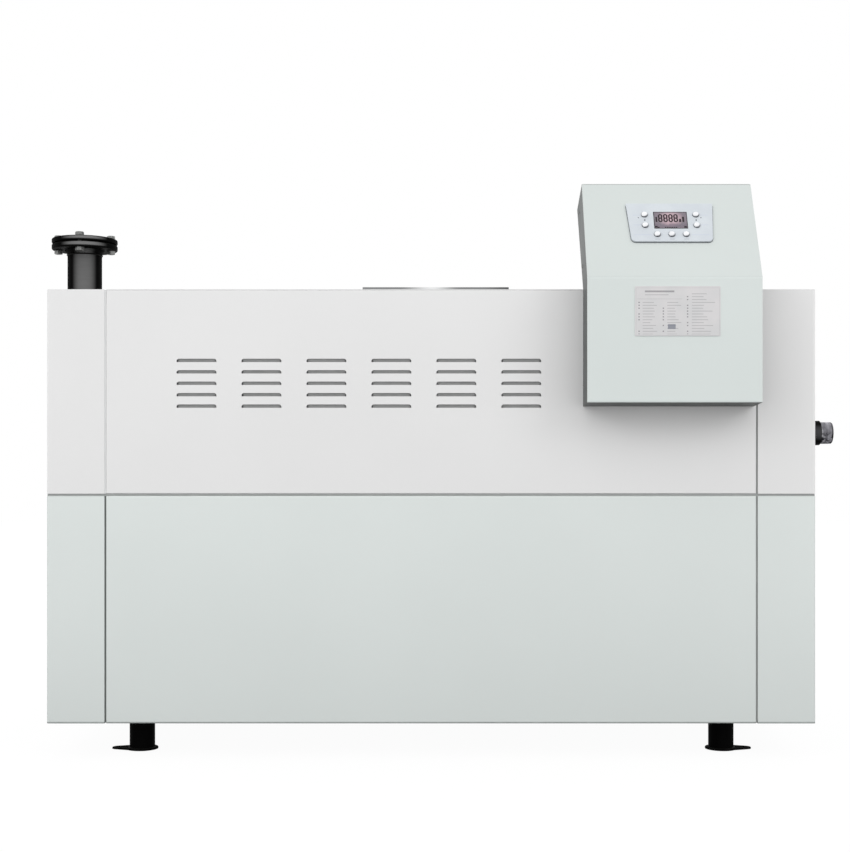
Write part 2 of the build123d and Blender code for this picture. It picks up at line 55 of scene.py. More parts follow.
# Cabinet
FRONT_Y = -0.620
END_X = 1.225
FRAME_X = 1.203
FRAME_Y = 0.598
SEAM_X = 1.038
UPRIGHT_SEAM = 0.0056
LEVEL_SEAM_Z = 0.840
LEVEL_SEAM = 0.0076
CABINET_BOTTOM = 0.112
PANEL_TOP = 1.493
LOUVRES_ACROSS = (-0.90, 0.36)
LOUVRES_HIGH = (1.05, 1.35)
# Heights over which painted shade darkens the cabinet's lower fold
FOLD_SHADE_HEIGHTS = (0.1195, 0.1135)

# Rubber profiles in the seams
SEAL_PLAY = 0.0002
SEAL_EDGE = 0.00035
SEAL_LIP = 0.00112
SEAL_GROOVE = 0.0012
SEAL_RISE = 0.0020
RING_EDGE = 0.0006
RING_INNER_EDGE = 0.0003

# How far each profile lies behind the faces of the panels
SHALLOW_SEAL = 0.0004
PLAIN_SEAL = 0.0020
LEVEL_SEAL = 0.0025
DEEP_SEAL = 0.0030

# Flue curb: where a painted reflection makes its steel bright along X, and where it leaves it dark
CURB_BRIGHT_LEFT = (-0.12, 0.0)
CURB_BRIGHT_RIGHT = (0.10, -0.005)
CURB_DARK_RIGHT = (0.17, 0.27)

# Bead round the flue duct
FLUE_BEAD = 0.0014
FLUE_BEAD_SINK = 0.0003

# Flow connection
PIPE_RADIUS = 0.055
FLANGE_BOTTOM = 1.6373
FLANGE_TOP = 1.6739
BLIND_FLANGE_BOTTOM = 1.6579
BOLT_REACH = 0.085
BOLT_TURN = math.radians(3.0)
BOLT_COUNT = 4
BOLT_RADIUS = 0.008
BOLT_END = 0.0006
NUT_ACROSS = 0.024
NUT_HEIGHT = 0.012
NUT_FACE = 0.475
NUT_SLOPE = math.tan(math.radians(30.0))
BOLT_THREAD_DEPTH = 0.0007
BOLT_TURN_STEP = 1.7
HUB_WELD = 0.0022
HUB_WELD_PLAY = 0.0006

# Directions of the painted sheen on the black paint and of the painted shade on the button caps' flanks
SHEEN_SIDE = (0.215, -0.977, 0.0)
SHADED_FLANK_SIDE = (0.62, -0.20, -0.76)

# Gas connection
THREAD_RADIUS = 0.0376
THREAD_DEPTH = 0.0014
THREAD_PITCH = 0.00231
THREAD_CREST = (0.42, 0.58)
THREAD_RELIEF = 0.003
THREAD_LEAD = 0.0015
THREAD_PLAY = 0.0001
GAS_BORE_RADIUS = 0.0335
# Heights over which the thread's dark blotches thicken, and where painted shade darkens its outer end
BLOTCH_HEIGHTS = (1.062, 1.028)
SHADED_THREAD_END = (1.3735, 1.3790)

# Control box, with the panel on its leaning face measured across and up the slope from the bend
BOX_TOP = 1.83837
LEAN = math.atan2(0.1775, 0.3236)
SLOPE_ORIGIN = Vector((0.755, -0.7575, 1.5154))
UP_SLOPE = Vector((0.0, math.sin(LEAN), math.cos(LEAN)))
OUT_OF_SLOPE = Vector((0.0, -math.cos(LEAN), math.sin(LEAN)))
BEZEL_TOP = 0.006
PANEL_SHIFT = 0.0015
BEZEL_TOP_WIDTH = 0.276
BEZEL_BOTTOM_WIDTH = 0.2545
BEZEL_LOW = 0.1334
BEZEL_HIGH = 0.284
BEZEL_CORNER = 0.015
# Dark strip under the bezel's rim that stands in for the shade along its sides and lower edge
SHADE_STRIP_OVERHANG = (0.0008, 0.0020)
SHADE_STRIP_WIDTH = 0.008
SHADE_STRIP_THICKNESS = 0.0014
BUTTON_RADIUS = 0.0098
BUTTON_PLACES = ((-0.0798, 0.1962), (-0.0798, 0.2382), (0.0828, 0.1962), (0.0828, 0.2382),
                 (-0.0439, 0.1605), (0.0015, 0.1605), (0.0469, 0.1605))
LAMP_PLACES = ((-0.0997, 0.2265), (0.0984, 0.2265))
MARK_PLACES = ((-0.0798, 0.2172), (0.0826, 0.2172))
DISPLAY_MIDDLE = 0.2165
DISPLAY_WIDTH = 0.106
DISPLAY_HEIGHT = 0.066
DISPLAY_FACE = 0.0063
PRINT_THICKNESS = 0.00015
BORDER_WIDTH = 0.0022
BORDER_EDGE = 0.00008
BAR_EDGE = 0.00004
DIGIT_PLACES = (-0.0304, -0.0141, 0.0020, 0.0181)
DIGIT_MIDDLE = 0.2245
DIGIT_WIDTH = 0.0094
DIGIT_HEIGHT = 0.0270
DIGIT_STROKE = 0.0046
DIGIT_PLAY = 0.0002
DASH_COUNT = 6
DASH_STEP = 0.0068
DASH_START = (-0.0160, -0.0284)
DASH_SIZE = (0.0046, 0.0034)
# Bars of the display: place from its middle, width, height
DISPLAY_BARS = ((-0.0430, 0.0030, 0.0052, 0.0200), (0.0415, 0.0032, 0.0060, 0.0210),
                (0.0316, -0.0012, 0.0064, 0.0125), (-0.0456, -0.0262, 0.0085, 0.0060),
                (-0.0390, -0.0282, 0.0080, 0.0036), (0.0468, -0.0266, 0.0085, 0.0060))

# Print of the control panel, in millimetres across and up the slope
PANEL_LINES = (159.0, 198.0, 237.0)
PANEL_LINE_REACH = (62.0, 118.0)
DASH_DROP = 18.5

# Label plate on the upright face of the control box: its corner in metres, its print in millimetres
LABEL_LEFT = 0.6305
LABEL_TOP = 1.4855
LABEL_WIDTH = 265.0
LABEL_HEIGHT = 154.4
LABEL_BORDER = (3.4, 4.4)
LABEL_PITCH = 8.9
LABEL_FOOT = 147.0
BULLET_SHIFT = 5.0
# Columns of the label: bullets' left edge, start and end of its rules, top, seed of the rules' lengths
LABEL_COLUMNS = ((8.0, 24.0, 70.0, 46.0, 0.0), (83.0, 100.0, 146.0, 46.0, 31.0),
                 (158.0, 176.0, 250.0, 17.0, 57.0))
# Solid blocks of ink on the label: left, right, top, foot, strength
LABEL_STRIPS = ((31.0, 122.0, 12.0, 17.5, 0.55), (31.0, 104.0, 24.0, 26.6, 0.32),
                (8.0, 146.0, 37.5, 38.7, 0.30))
LABEL_BLOCK = (102.0, 126.0, 116.0, 131.0)

# Screws in the sides of the control box
SCREW_RADIUS = 0.006
SCREW_HEIGHT = 0.003
SCREW_SLOT = 0.0013
SCREW_SLOT_DEPTH = 0.0015
SCREW_SLOT_EDGE = 0.0002
SCREW_TURN = 0.7
SCREW_SIDES = ((0.484, -1), (1.026, 1))
SCREW_PLACES = ((-0.483, 1.764), (-0.608, 1.570), (-0.647, 1.467), (-0.647, 1.188))

# Legs
LEG_X = 0.956
LEG_Y = 0.447
LEG_RADIUS = 0.04125
LEG_WELD = 0.0032
LEG_WELD_PLAY = 0.0008
FOOT_THICKNESS = 0.005

# Studio
SURROUND = 1.21
LAMPS = (("left_lamp", Vector((-8.0, -6.5, 6.0)), (4.0, 4.0), 150.0),
         ("right_lamp", Vector((8.0, -6.5, 6.0)), (4.0, 4.0), 120.0))
LAMP_AIM = Vector((0.0, 0.0, 0.9))
FLOOR_WIDTH = 40.0
FLOOR_NEAR = (0.06, 0.06, 0.06, 1.0)
FLOOR_FAR = (0.40, 0.40, 0.40, 1.0)
FLOOR_REACH = (1.2, 2.2)
FLOOR_SHAPE = (0.55, 1.0, 1.0)
PAPER_TONE = (0.96, 0.96, 0.96, 1.0)
FLOOR_GLOW = 0.95
PLAIN_WHITE = (1.0, 1.0, 1.0, 1.0)

# Camera, worked out from the ovals of the flange and the foot plates
PICTURE_WIDTH = 850
PICTURE_HEIGHT = 852
FOCAL_PIXELS = 1430.0
AXIS_PIXEL = (445.0, 472.0)
SENSOR = 36.0
EYE = Vector((0.04427, -5.17455, 0.913))


def screen(red, green, blue):
    """Linear colour from the eight-bit values of a screen colour."""
    linear = []
    for value in (red, green, blue):
        share = value / 255
        linear.append(share / 12.92 if share <= 0.04045 else ((share + 0.055) / 1.055) ** 2.4)
    return (*linear, 1.0)


class Signal:
    """One output of a tree's nodes, written in sums like a number."""

    def __init__(self, tree, socket):
        self.tree = tree
        self.socket = socket

    def maths(self, operation, *values):
        return self.tree.node("ShaderNodeMath", {"operation": operation}, dict(enumerate(values)))

    def __add__(self, other):
        return self.maths("ADD", self, other)

    def __radd__(self, other):
        return self.maths("ADD", other, self)

    def __sub__(self, other):
        return self.maths("SUBTRACT", self, other)

    def __rsub__(self, other):
        return self.maths("SUBTRACT", other, self)

    def __mul__(self, other):
        return self.maths("MULTIPLY", self, other)

    def __rmul__(self, other):
        return self.maths("MULTIPLY", other, self)

    def __truediv__(self, other):
        return self.maths("DIVIDE", self, other)

    def __mod__(self, other):
        return self.maths("FLOORED_MODULO", self, other)

    def __gt__(self, other):
        return self.maths("GREATER_THAN", self, other)

    def __lt__(self, other):
        return self.maths("LESS_THAN", self, other)

    def floor(self):
        return self.maths("FLOOR", self)

    def size(self):
        return self.maths("ABSOLUTE", self)

    def least(self, other):
        return self.maths("MINIMUM", self, other)

    def most(self, other):
        return self.maths("MAXIMUM", self, other)

    def within(self, low, high):
        """One between two values and nought outside them."""
        return (self > low) * (self < high)

    def ramp(self, low, high):
        """Rises from nought at low to one at high and stays there."""
        return self.tree.node("ShaderNodeMapRange", {"interpolation_type": "SMOOTHSTEP"},
                              {"Value": self, "From Min": low, "From Max": high})


class NodeTree:
    """The nodes of a finish, of the floor's paper or of the surround."""

    def __init__(self, owner):
        owner.use_nodes = True
        self.tree = owner.node_tree
        self.tree.nodes.clear()

    def node(self, kind, settings, inputs, output=0):
        """Adds a node: first its settings, then the values or links of its sockets."""
        node = self.tree.nodes.new(kind)
        for key, value in settings.items():
            setattr(node, key, value)
        for key, value in inputs.items():
            if isinstance(value, Signal):
                self.tree.links.new(value.socket, node.inputs[key])
            else:
                node.inputs[key].default_value = value
        return Signal(self, node.outputs[output]) if node.outputs else None

    def place_on_object(self):
        return self.node("ShaderNodeTexCoord", {}, {}, "Object")

    def vector(self, operation, first, second=(0.0, 0.0, 0.0), output=0):
        return self.node("ShaderNodeVectorMath", {"operation": operation}, {0: first, 1: second}, output)

    def mix(self, share, first, second):
        return self.node("ShaderNodeMix", {"data_type": "RGBA"}, {0: share, 6: first, 7: second}, 2)

    def seen(self):
        """One for camera, glossy and transmission rays, nought for diffuse ones."""
        camera, glossy, through = [self.node("ShaderNodeLightPath", {}, {}, "Is " + kind + " Ray")
                                   for kind in ("Camera", "Glossy", "Transmission")]
        return camera.most(glossy).most(through)


class Finish(NodeTree):
    """A surface finish: one shader whose varying values come from nodes."""

    def __init__(self, name, **constants):
        self.material = bpy.data.materials.new(name)
        super().__init__(self.material)
        values = {key.replace("_", " "): value for key, value in constants.items()}
        surface = self.node("ShaderNodeBsdfPrincipled", {}, values)
        self.shader = surface.socket.node
        self.node("ShaderNodeOutputMaterial", {}, {"Surface": surface})
        self.place = self.place_on_object()

    def give(self, **signals):
        """Links signals to the shader's own sockets."""
        for key, value in signals.items():
            self.tree.links.new(value.socket, self.shader.inputs[key.replace("_", " ")])

    def axis(self, name, spot=None):
        return self.node("ShaderNodeSeparateXYZ", {}, {"Vector": spot or self.place}, name)

    def noise(self, scale, detail=2.0, roughness=0.5, stretch=None):
        spot = self.vector("MULTIPLY", self.place, stretch) if stretch else self.place
        return self.node("ShaderNodeTexNoise", {}, {"Vector": spot, "Scale": scale, "Detail": detail,
                                                    "Roughness": roughness})

    def cells(self, scale, feature="F1", output="Distance"):
        return self.node("ShaderNodeTexVoronoi", {"feature": feature},
                         {"Vector": self.place, "Scale": scale}, output)

    def chance(self, number):
        """A steady random value for each whole number."""
        return self.node("ShaderNodeTexWhiteNoise", {"noise_dimensions": "1D"}, {"W": number})

    def relief(self, height, distance, strength, under=None):
        inputs = {"Height": height, "Distance": distance, "Strength": strength}
        if under:
            inputs["Normal"] = under
        return self.node("ShaderNodeBump", {}, inputs, "Normal")

    def facing(self, direction):
        """One where the surface faces a direction squarely, nought where it stands side on to it."""
        normal = self.node("ShaderNodeNewGeometry", {}, {}, "Normal")
        return self.vector("DOT_PRODUCT", normal, direction, "Value")

    def facing_up(self):
        return self.facing(UP).ramp(0.35, 0.95)


# Finishes

def clouds(coat):
    return coat.noise(1.7, 3.0)


def flow_marks(coat):
    return coat.noise(38.0, 3.0)


def box_painted_shade(coat, tone):
    """Painted shade on the face of the control box that leans back, and a painted shade line along its
    upper edge.
    """
    leaning = coat.facing(UP).ramp(0.08, 0.36) * (0.9 + clouds(coat) * 0.2)
    tone = coat.mix(leaning * 0.38, tone, screen(168, 173, 171))
    edge = coat.axis("Z").ramp(BOX_TOP - 0.0045, BOX_TOP - 0.0015)
    return coat.mix(edge * 0.6, tone, screen(128, 132, 131))


def louvre_painted_shade(coat, tone):
    """Painted shade on the blades behind the louvres, weaker further in."""
    behind = coat.axis("Y") - FRONT_Y
    louvred = coat.axis("X").within(*LOUVRES_ACROSS) * coat.axis("Z").within(*LOUVRES_HIGH)
    louvre_shade = behind.ramp(0.0002, 0.0012) * (0.95 - 0.45 * behind.ramp(0.003, 0.0085))
    louvre_shade = louvre_shade * (0.85 + flow_marks(coat) * 0.3)
    return coat.mix((louvre_shade * louvred).least(1.0), tone, screen(150, 151, 151))


def fold_painted_shade(coat, tone):
    """Painted shade along the lower fold of the cabinet and down its corners."""
    low = coat.axis("Z").ramp(*FOLD_SHADE_HEIGHTS) * (0.8 + flow_marks(coat) * 0.4)
    tone = coat.mix((low * 0.85).least(1.0), tone, screen(128, 134, 132))
    corner = coat.axis("X").size().ramp(END_X - 0.0040, END_X - 0.0015)
    corner = corner * coat.axis("Y").size().ramp(-FRONT_Y - 0.0045, -FRONT_Y - 0.0015)
    return coat.mix(corner * 0.5, tone, screen(128, 134, 132))


def powder_coat(name, colour, deep, roughness, shade_painter=None):
    """Baked powder coat: orange peel, clouds of tone, wipe marks and dust, with painted shade added in one
    of three ways.
    """
    coat = Finish(name, Specular_IOR_Level=0.42)
    cloud = clouds(coat)
    flow = flow_marks(coat)
    wipe = coat.noise(6.0, 4.0, 0.6, (1.0, 1.0, 0.22))
    peel = coat.noise(520.0, 2.0, 0.55)
    grain = coat.noise(2600.0, 1.0)
    speck = coat.cells(95.0).ramp(0.06, 0.03)
    tone = coat.mix((cloud.ramp(0.3, 0.7) * 0.75 + flow * 0.25), colour, deep)
    dust = coat.facing_up() * coat.noise(5.0, 5.0, 0.62).ramp(0.35, 0.8)
    tone = coat.mix(dust * 0.16, tone, screen(178, 174, 166))
    tone = coat.mix(speck * 0.10, tone, screen(150, 150, 148))
    if shade_painter:
        tone = shade_painter(coat, tone)
    coat.give(Base_Color=tone,
              Roughness=roughness + (wipe - 0.5) * 0.16 + dust * 0.25 + (grain - 0.5) * 0.06,
              Normal=coat.relief(grain, 0.00006, 0.25, coat.relief(peel, 0.00022, 0.32,
                                                                   coat.relief(flow, 0.0012, 0.10))))
    return coat.material


def primer(name, colour):
    """Sprayed steel primer of the inner frame: dull, with overspray grain."""
    coat = Finish(name, Specular_IOR_Level=0.3)
    spray = coat.noise(240.0, 3.0, 0.65)
    patch = coat.noise(7.0, 3.0)
    tone = coat.mix(patch.ramp(0.35, 0.7), colour, screen(62, 64, 64))
    tone = coat.mix(spray.ramp(0.62, 0.8) * 0.3, tone, screen(96, 97, 96))
    coat.give(Base_Color=tone, Roughness=0.62 + spray * 0.2, Normal=coat.relief(spray, 0.0003, 0.5))
    return coat.material


def stove_black(name, stretch, relief_depth, roughness, sheen_tone, rims=()):
    """Heat-resistant black: brush marks, dust, and a painted sheen that greys the side facing the front,
    but for the foot of a rim.
    """
    coat = Finish(name, Specular_IOR_Level=0.02)
    brush = coat.noise(150.0, 4.0, 0.6, stretch)
    cast = coat.noise(330.0, 3.0, 0.7)
    bloom = coat.noise(26.0, 5.0, 0.65)
    dust = coat.facing_up() * bloom.ramp(0.3, 0.75)
    tone = coat.mix(bloom.ramp(0.45, 0.8) * 0.5, screen(3, 3, 3), screen(12, 12, 12))
    # Painted sheen: grey where the surface faces the front, left off the foot of each rim
    towards = coat.facing(SHEEN_SIDE).ramp(0.70, 1.02)
    for rim in rims:
        above = coat.axis("Z") - rim
        towards = towards * (1.0 - above.ramp(-0.001, 0.0005) * above.ramp(0.0075, 0.004) * 0.92)
    tone = coat.mix(towards * (0.86 + brush * 0.24), tone, sheen_tone)
    tone = coat.mix(dust * 0.12, tone, screen(96, 94, 90))
    coat.give(Base_Color=tone,
              Roughness=roughness + brush * 0.14 + dust * 0.25,
              Normal=coat.relief(brush, 0.0002, 0.35, coat.relief(cast, relief_depth, 0.4)))
    return coat.material


def zinc_sheet(name):
    """Galvanised sheet with flat crystals of zinc and rolling lines."""
    sheet = Finish(name, Metallic=1.0)
    crystal = sheet.axis("X", sheet.cells(70.0, output="Color"))
    border = sheet.cells(70.0, "DISTANCE_TO_EDGE")
    rolled = sheet.noise(60.0, 3.0, 0.6, (0.06, 1.0, 1.0))
    stain = sheet.noise(4.0, 5.0, 0.6).ramp(0.5, 0.8)
    tone = sheet.mix(crystal, screen(168, 172, 175), screen(205, 208, 210))
    tone = sheet.mix(stain * 0.35, tone, screen(128, 131, 133))
    sheet.give(Base_Color=tone, Roughness=0.34 + crystal * 0.2 + stain * 0.15,
               Normal=sheet.relief(border, 0.0004, 0.12, sheet.relief(rolled, 0.0003, 0.2)))
    return sheet.material


def zinc_plate(name):
    """Bright zinc plating of nuts and screws, with tool marks and dulled patches."""
    plate = Finish(name, Metallic=1.0)
    marks = plate.noise(900.0, 3.0, 0.6, (1.0, 1.0, 0.12))
    dull = plate.noise(120.0, 4.0, 0.65)
    tone = plate.mix(dull.ramp(0.35, 0.7), screen(150, 151, 149), screen(104, 105, 105))
    plate.give(Base_Color=tone, Roughness=0.38 + dull * 0.28,
               Normal=plate.relief(marks, 0.00008, 0.4))
    return plate.material


def threaded_zinc(name):
    """Hot-dipped pipe thread: streaks round the pipe, dark blotches thicker on its lower half, and painted
    shade at its outer end.
    """
    zinc = Finish(name, Metallic=0.85)
    streak = zinc.noise(90.0, 4.0, 0.65, (1.0, 0.16, 0.16))
    blot = zinc.noise(75.0, 4.0, 0.6)
    low = zinc.axis("Z").ramp(*BLOTCH_HEIGHTS)
    # Painted shade towards the outer end of the thread
    shaded_end = zinc.axis("X").ramp(*SHADED_THREAD_END)
    stain = (blot.ramp(0.45, 0.56) * (low * 0.85 + 0.12) + shaded_end * 0.85).least(1.0)
    tone = zinc.mix(streak.ramp(0.3, 0.72), screen(138, 137, 143), screen(214, 213, 218))
    tone = zinc.mix(stain, tone, screen(56, 54, 60))
    zinc.give(Base_Color=tone, Roughness=0.42 + streak * 0.2 + stain * 0.2,
              Normal=zinc.relief(streak, 0.0003, 0.4, zinc.relief(blot, 0.0004, 0.3)))
    return zinc.material


def brushed_steel(name, stretch):
    """Stainless sheet brushed along its length, with a painted reflection: bright in the middle and darker
    towards the curb's corners.
    """
    steel = Finish(name, Metallic=1.0)
    across = steel.axis("X")
    hair = steel.noise(1400.0, 3.0, 0.7, stretch)
    band = steel.noise(90.0, 3.0, 0.6, stretch)
    smear = steel.noise(9.0, 4.0, 0.6)
    # Painted reflection: bright in the middle along X, dark towards the ends
    bright = across.ramp(*CURB_BRIGHT_LEFT) * across.ramp(*CURB_BRIGHT_RIGHT)
    tone = steel.mix(bright, screen(138, 139, 140), screen(238, 239, 239))
    tone = steel.mix(across.ramp(*CURB_DARK_RIGHT) * 0.7, tone, screen(66, 67, 68))
    tone = steel.mix(band.ramp(0.35, 0.75) * 0.12, tone, screen(130, 131, 132))
    steel.give(Base_Color=tone, Roughness=0.24 + hair * 0.16 + smear * 0.10,
               Normal=steel.relief(hair, 0.00005, 0.35, steel.relief(smear, 0.002, 0.10)))
    return steel.material


def fibre_gasket(name):
    """Pressed fibre sheet: short light fibres in a dark green-grey binder."""
    sheet = Finish(name, Specular_IOR_Level=0.2)
    fibre = sheet.noise(1100.0, 3.0, 0.7, (1.0, 1.0, 0.3))
    clot = sheet.noise(140.0, 2.0)
    tone = sheet.mix(fibre.ramp(0.5, 0.72) * 0.6, screen(34, 38, 36), screen(88, 92, 86))
    sheet.give(Base_Color=tone, Roughness=0.8 + clot * 0.1, Normal=sheet.relief(fibre, 0.0002, 0.5))
    return sheet.material


def weld_metal(name):
    """Weld run under black paint: scaled ripples with burnt edges."""
    run = Finish(name, Specular_IOR_Level=0.08)
    scale = run.noise(420.0, 3.0, 0.6)
    tone = run.mix(scale.ramp(0.4, 0.75), screen(5, 5, 5), screen(22, 21, 20))
    run.give(Base_Color=tone, Roughness=0.42 + scale * 0.25, Normal=run.relief(scale, 0.0004, 0.6))
    return run.material


def rubber_seal(name, colour, worn):
    """Extruded rubber profile in the seams: dull skin with drawn lines and chalky patches."""
    rubber = Finish(name, Specular_IOR_Level=0.3)
    drawn = rubber.noise(500.0, 2.0, 0.6, (1.0, 1.0, 0.04))
    chalk = rubber.noise(18.0, 4.0, 0.6)
    tone = rubber.mix(chalk.ramp(0.4, 0.75) * 0.6, colour, worn)
    rubber.give(Base_Color=tone, Roughness=0.7 + chalk * 0.15, Normal=rubber.relief(drawn, 0.0002, 0.4))
    return rubber.material


def sum_of(signals):
    total = signals[0]
    for signal in signals[1:]:
        total = total + signal
    return total


def slope_places(finish):
    """Across and up-slope places on the leaning face, in millimetres."""
    from_bend = finish.vector("SUBTRACT", finish.place, tuple(SLOPE_ORIGIN))
    up = finish.vector("DOT_PRODUCT", from_bend, tuple(UP_SLOPE), "Value")
    return finish.axis("X", from_bend) / MM, up / MM


def bezel_plastic(name):
    """Pale moulded plastic: spark-eroded grain, three faint printed lines and small plain marks."""
    shell = Finish(name, Specular_IOR_Level=0.4, Coat_Weight=0.08, Coat_Roughness=0.3)
    across, up = slope_places(shell)
    grain = shell.noise(1500.0, 2.0, 0.6)
    cloud = shell.noise(14.0, 3.0)
    tone = shell.mix(cloud.ramp(0.3, 0.7), screen(201, 207, 212), screen(195, 201, 207))
    beside = (across - PANEL_SHIFT / MM).size().within(*PANEL_LINE_REACH)
    lines = sum_of([(up - height).size().ramp(2.2, 0.6) for height in PANEL_LINES]) * beside
    tone = shell.mix(lines.least(1.0) * 0.35, tone, screen(176, 184, 206))
    marks = []
    for place, height in MARK_PLACES:
        marks.append((across - place / MM).size().ramp(2.4, 1.6) * (up - height / MM).size().ramp(3.0, 2.2))
    for place, height in BUTTON_PLACES[4:]:
        dash = (up - height / MM + DASH_DROP).size().ramp(1.5, 0.8)
        marks.append((across - place / MM).size().ramp(8.5, 7.5) * dash * 0.4)
    tone = shell.mix(sum_of(marks).least(1.0) * 0.95, tone, screen(50, 52, 60))
    shell.give(Base_Color=tone, Roughness=0.38 + grain * 0.12,
               Normal=shell.relief(grain, 0.00008, 0.35))
    return shell.material


def display_glass(name):
    """Liquid-crystal cell under a clear window: mauve ground with a painted glow round the digits, and fine
    pixel grain.
    """
    cell = Finish(name, Specular_IOR_Level=0.5, Coat_Weight=0.5, Coat_Roughness=0.08)
    across, up = slope_places(cell)
    aside = (across - PANEL_SHIFT / MM) / (DISPLAY_WIDTH / MM / 2)
    rise = (up - DISPLAY_MIDDLE / MM) / (DISPLAY_HEIGHT / MM / 2)
    # Painted glow: the ground is paler round the digits
    glow = (1.0 - (aside * aside * 1.5 + (rise - 0.2) * (rise - 0.2) * 0.9)).most(0.0)
    grid = (up % 1.1).ramp(0.5, 0.7) * 0.5 + (across % 1.1).ramp(0.5, 0.7) * 0.5
    cloud = cell.noise(60.0, 3.0)
    tone = cell.mix(glow, screen(114, 106, 116), screen(198, 168, 177))
    tone = cell.mix(cloud.ramp(0.35, 0.7) * 0.35, tone, screen(138, 116, 128))
    foot = (rise + 0.62).size().ramp(0.34, 0.05) * cloud.ramp(0.4, 0.6)
    tone = cell.mix(foot * 0.5, tone, screen(84, 74, 92))
    tone = cell.mix(grid * 0.10, tone, screen(70, 56, 66))
    cell.give(Base_Color=tone, Roughness=0.22 + cloud * 0.12, Normal=cell.relief(cloud, 0.0001, 0.2))
    return cell.material


def crystal_black(name, colour):
    """Energised segments of the display: dark, slightly uneven, faintly glossy."""
    ink = Finish(name, Specular_IOR_Level=0.4)
    uneven = ink.noise(420.0, 3.0, 0.6)
    tone = ink.mix(uneven.ramp(0.35, 0.75) * 0.4, colour, screen(50, 30, 38))
    ink.give(Base_Color=tone, Roughness=0.3 + uneven * 0.2, Normal=ink.relief(uneven, 0.00003, 0.4))
    return ink.material


def button_cap(name):
    """White moulded caps, polished by fingers, with painted shade on their lower right flanks."""
    cap = Finish(name, Specular_IOR_Level=0.5, Coat_Weight=0.15, Coat_Roughness=0.2)
    grain = cap.noise(900.0, 2.0)
    touch = cap.noise(70.0, 4.0)
    tone = cap.mix(touch.ramp(0.4, 0.75), screen(233, 234, 236), screen(219, 220, 224))
    # Painted shade on the caps' lower right flanks
    flank_shade = cap.facing(SHADED_FLANK_SIDE).ramp(0.02, 0.42)
    tone = cap.mix(flank_shade * (0.75 + touch * 0.2), tone, screen(92, 94, 102))
    cap.give(Base_Color=tone, Roughness=0.26 + touch * 0.18, Normal=cap.relief(grain, 0.00005, 0.3))
    return cap.material


def signal_lens(name):
    """Unlit indicator lens of smoky grey plastic."""
    lens = Finish(name, Specular_IOR_Level=0.5, Coat_Weight=0.4, Coat_Roughness=0.08)
    haze = lens.noise(800.0, 2.0)
    tone = lens.mix(haze, screen(60, 62, 70), screen(92, 94, 102))
    lens.give(Base_Color=tone, Roughness=0.2 + haze * 0.1, Normal=lens.relief(haze, 0.00003, 0.3))
    return lens.material


def printed_foil(name):
    """Pale foil plate: ruled lines in three columns, square bullets, one grey block, a thin border."""
    foil = Finish(name, Specular_IOR_Level=0.35)
    across = (foil.axis("X") - LABEL_LEFT) / MM
    down = (LABEL_TOP - foil.axis("Z")) / MM
    cloud = foil.noise(16.0, 3.0)
    tone = foil.mix(cloud.ramp(0.3, 0.7), screen(216, 214, 215), screen(209, 209, 210))

    edge = (across.least(LABEL_WIDTH - across)).least(down.least(LABEL_HEIGHT - down))
    ink = edge.within(*LABEL_BORDER) * 0.24

    row = (down / LABEL_PITCH).floor()
    from_line = (down % LABEL_PITCH - LABEL_PITCH / 2).size()
    rule = from_line.ramp(1.25, 0.75)
    bullet = from_line.ramp(2.0, 1.5)
    for left, start, end, top, seed in LABEL_COLUMNS:
        below = down.within(top, LABEL_FOOT)
        reach = foil.chance(row + seed) * 0.55 + 0.45
        length = (across - start) / (end - start)
        ink = ink + rule * below * length.within(0.0, 1.0) * (length < reach) * 0.38
        shown = foil.chance(row + seed + 0.5) > 0.35
        ink = ink + bullet * below * (across - left - BULLET_SHIFT).size().ramp(2.3, 1.7) * shown * 0.75
    for left, right, top, foot, strength in LABEL_STRIPS:
        ink = ink + down.within(top, foot) * across.within(left, right) * strength
    tone = foil.mix(ink.least(0.75), tone, screen(92, 90, 96))
    left, right, top, foot = LABEL_BLOCK
    block = across.within(left, right) * down.within(top, foot)
    tone = foil.mix(block * 0.8, tone, screen(120, 125, 137))
    foil.give(Base_Color=tone, Roughness=0.42 + cloud * 0.15, Normal=foil.relief(cloud, 0.0003, 0.12))
    return foil.material


WHITE = powder_coat("white_powder_coat", screen(234, 234, 234), screen(231, 231, 231), 0.42)
LOUVRED_WHITE = powder_coat("louvred_powder_coat", screen(234, 234, 234), screen(231, 231, 231), 0.42,
                            louvre_painted_shade)
GREY_GREEN = powder_coat("grey_green_powder_coat", screen(226, 232, 230), screen(223, 229, 227), 0.42,
                         fold_painted_shade)
BOX_GREEN = powder_coat("control_box_powder_coat", screen(217, 224, 222), screen(214, 221, 219), 0.36,
                        box_painted_shade)
# Painted shade: the box body takes the cover's paint darkened to the shade of its sides and underside
BOX_SHADED_GREY = powder_coat("box_body_shade_coat", screen(74, 78, 77), screen(68, 72, 71), 0.45)
PRIMER = primer("frame_primer", screen(44, 46, 46))
FLANGE_BLACK = stove_black("flange_black", (0.3, 0.3, 1.0), 0.0002, 0.50, screen(121, 121, 121),
                           (FLANGE_BOTTOM, BLIND_FLANGE_BOTTOM))
PIPE_BLACK = stove_black("pipe_black", (0.15, 0.15, 1.0), 0.0001, 0.50, screen(104, 104, 104))
SOCKET_BLACK = stove_black("socket_black", (1.0, 0.3, 0.3), 0.0002, 0.50, screen(70, 70, 72))
LEG_BLACK = stove_black("leg_black", (0.3, 0.3, 1.0), 0.0002, 0.60, screen(9, 9, 9))
ZINC_SHEET = zinc_sheet("galvanised_sheet")
ZINC_PLATE = zinc_plate("zinc_plate")
ZINC_THREAD = threaded_zinc("galvanised_thread")
STEEL = brushed_steel("brushed_stainless", (0.02, 1.0, 1.0))
STEEL_DUCT = brushed_steel("brushed_duct", (1.0, 1.0, 0.03))
GASKET = fibre_gasket("gasket_fibre")
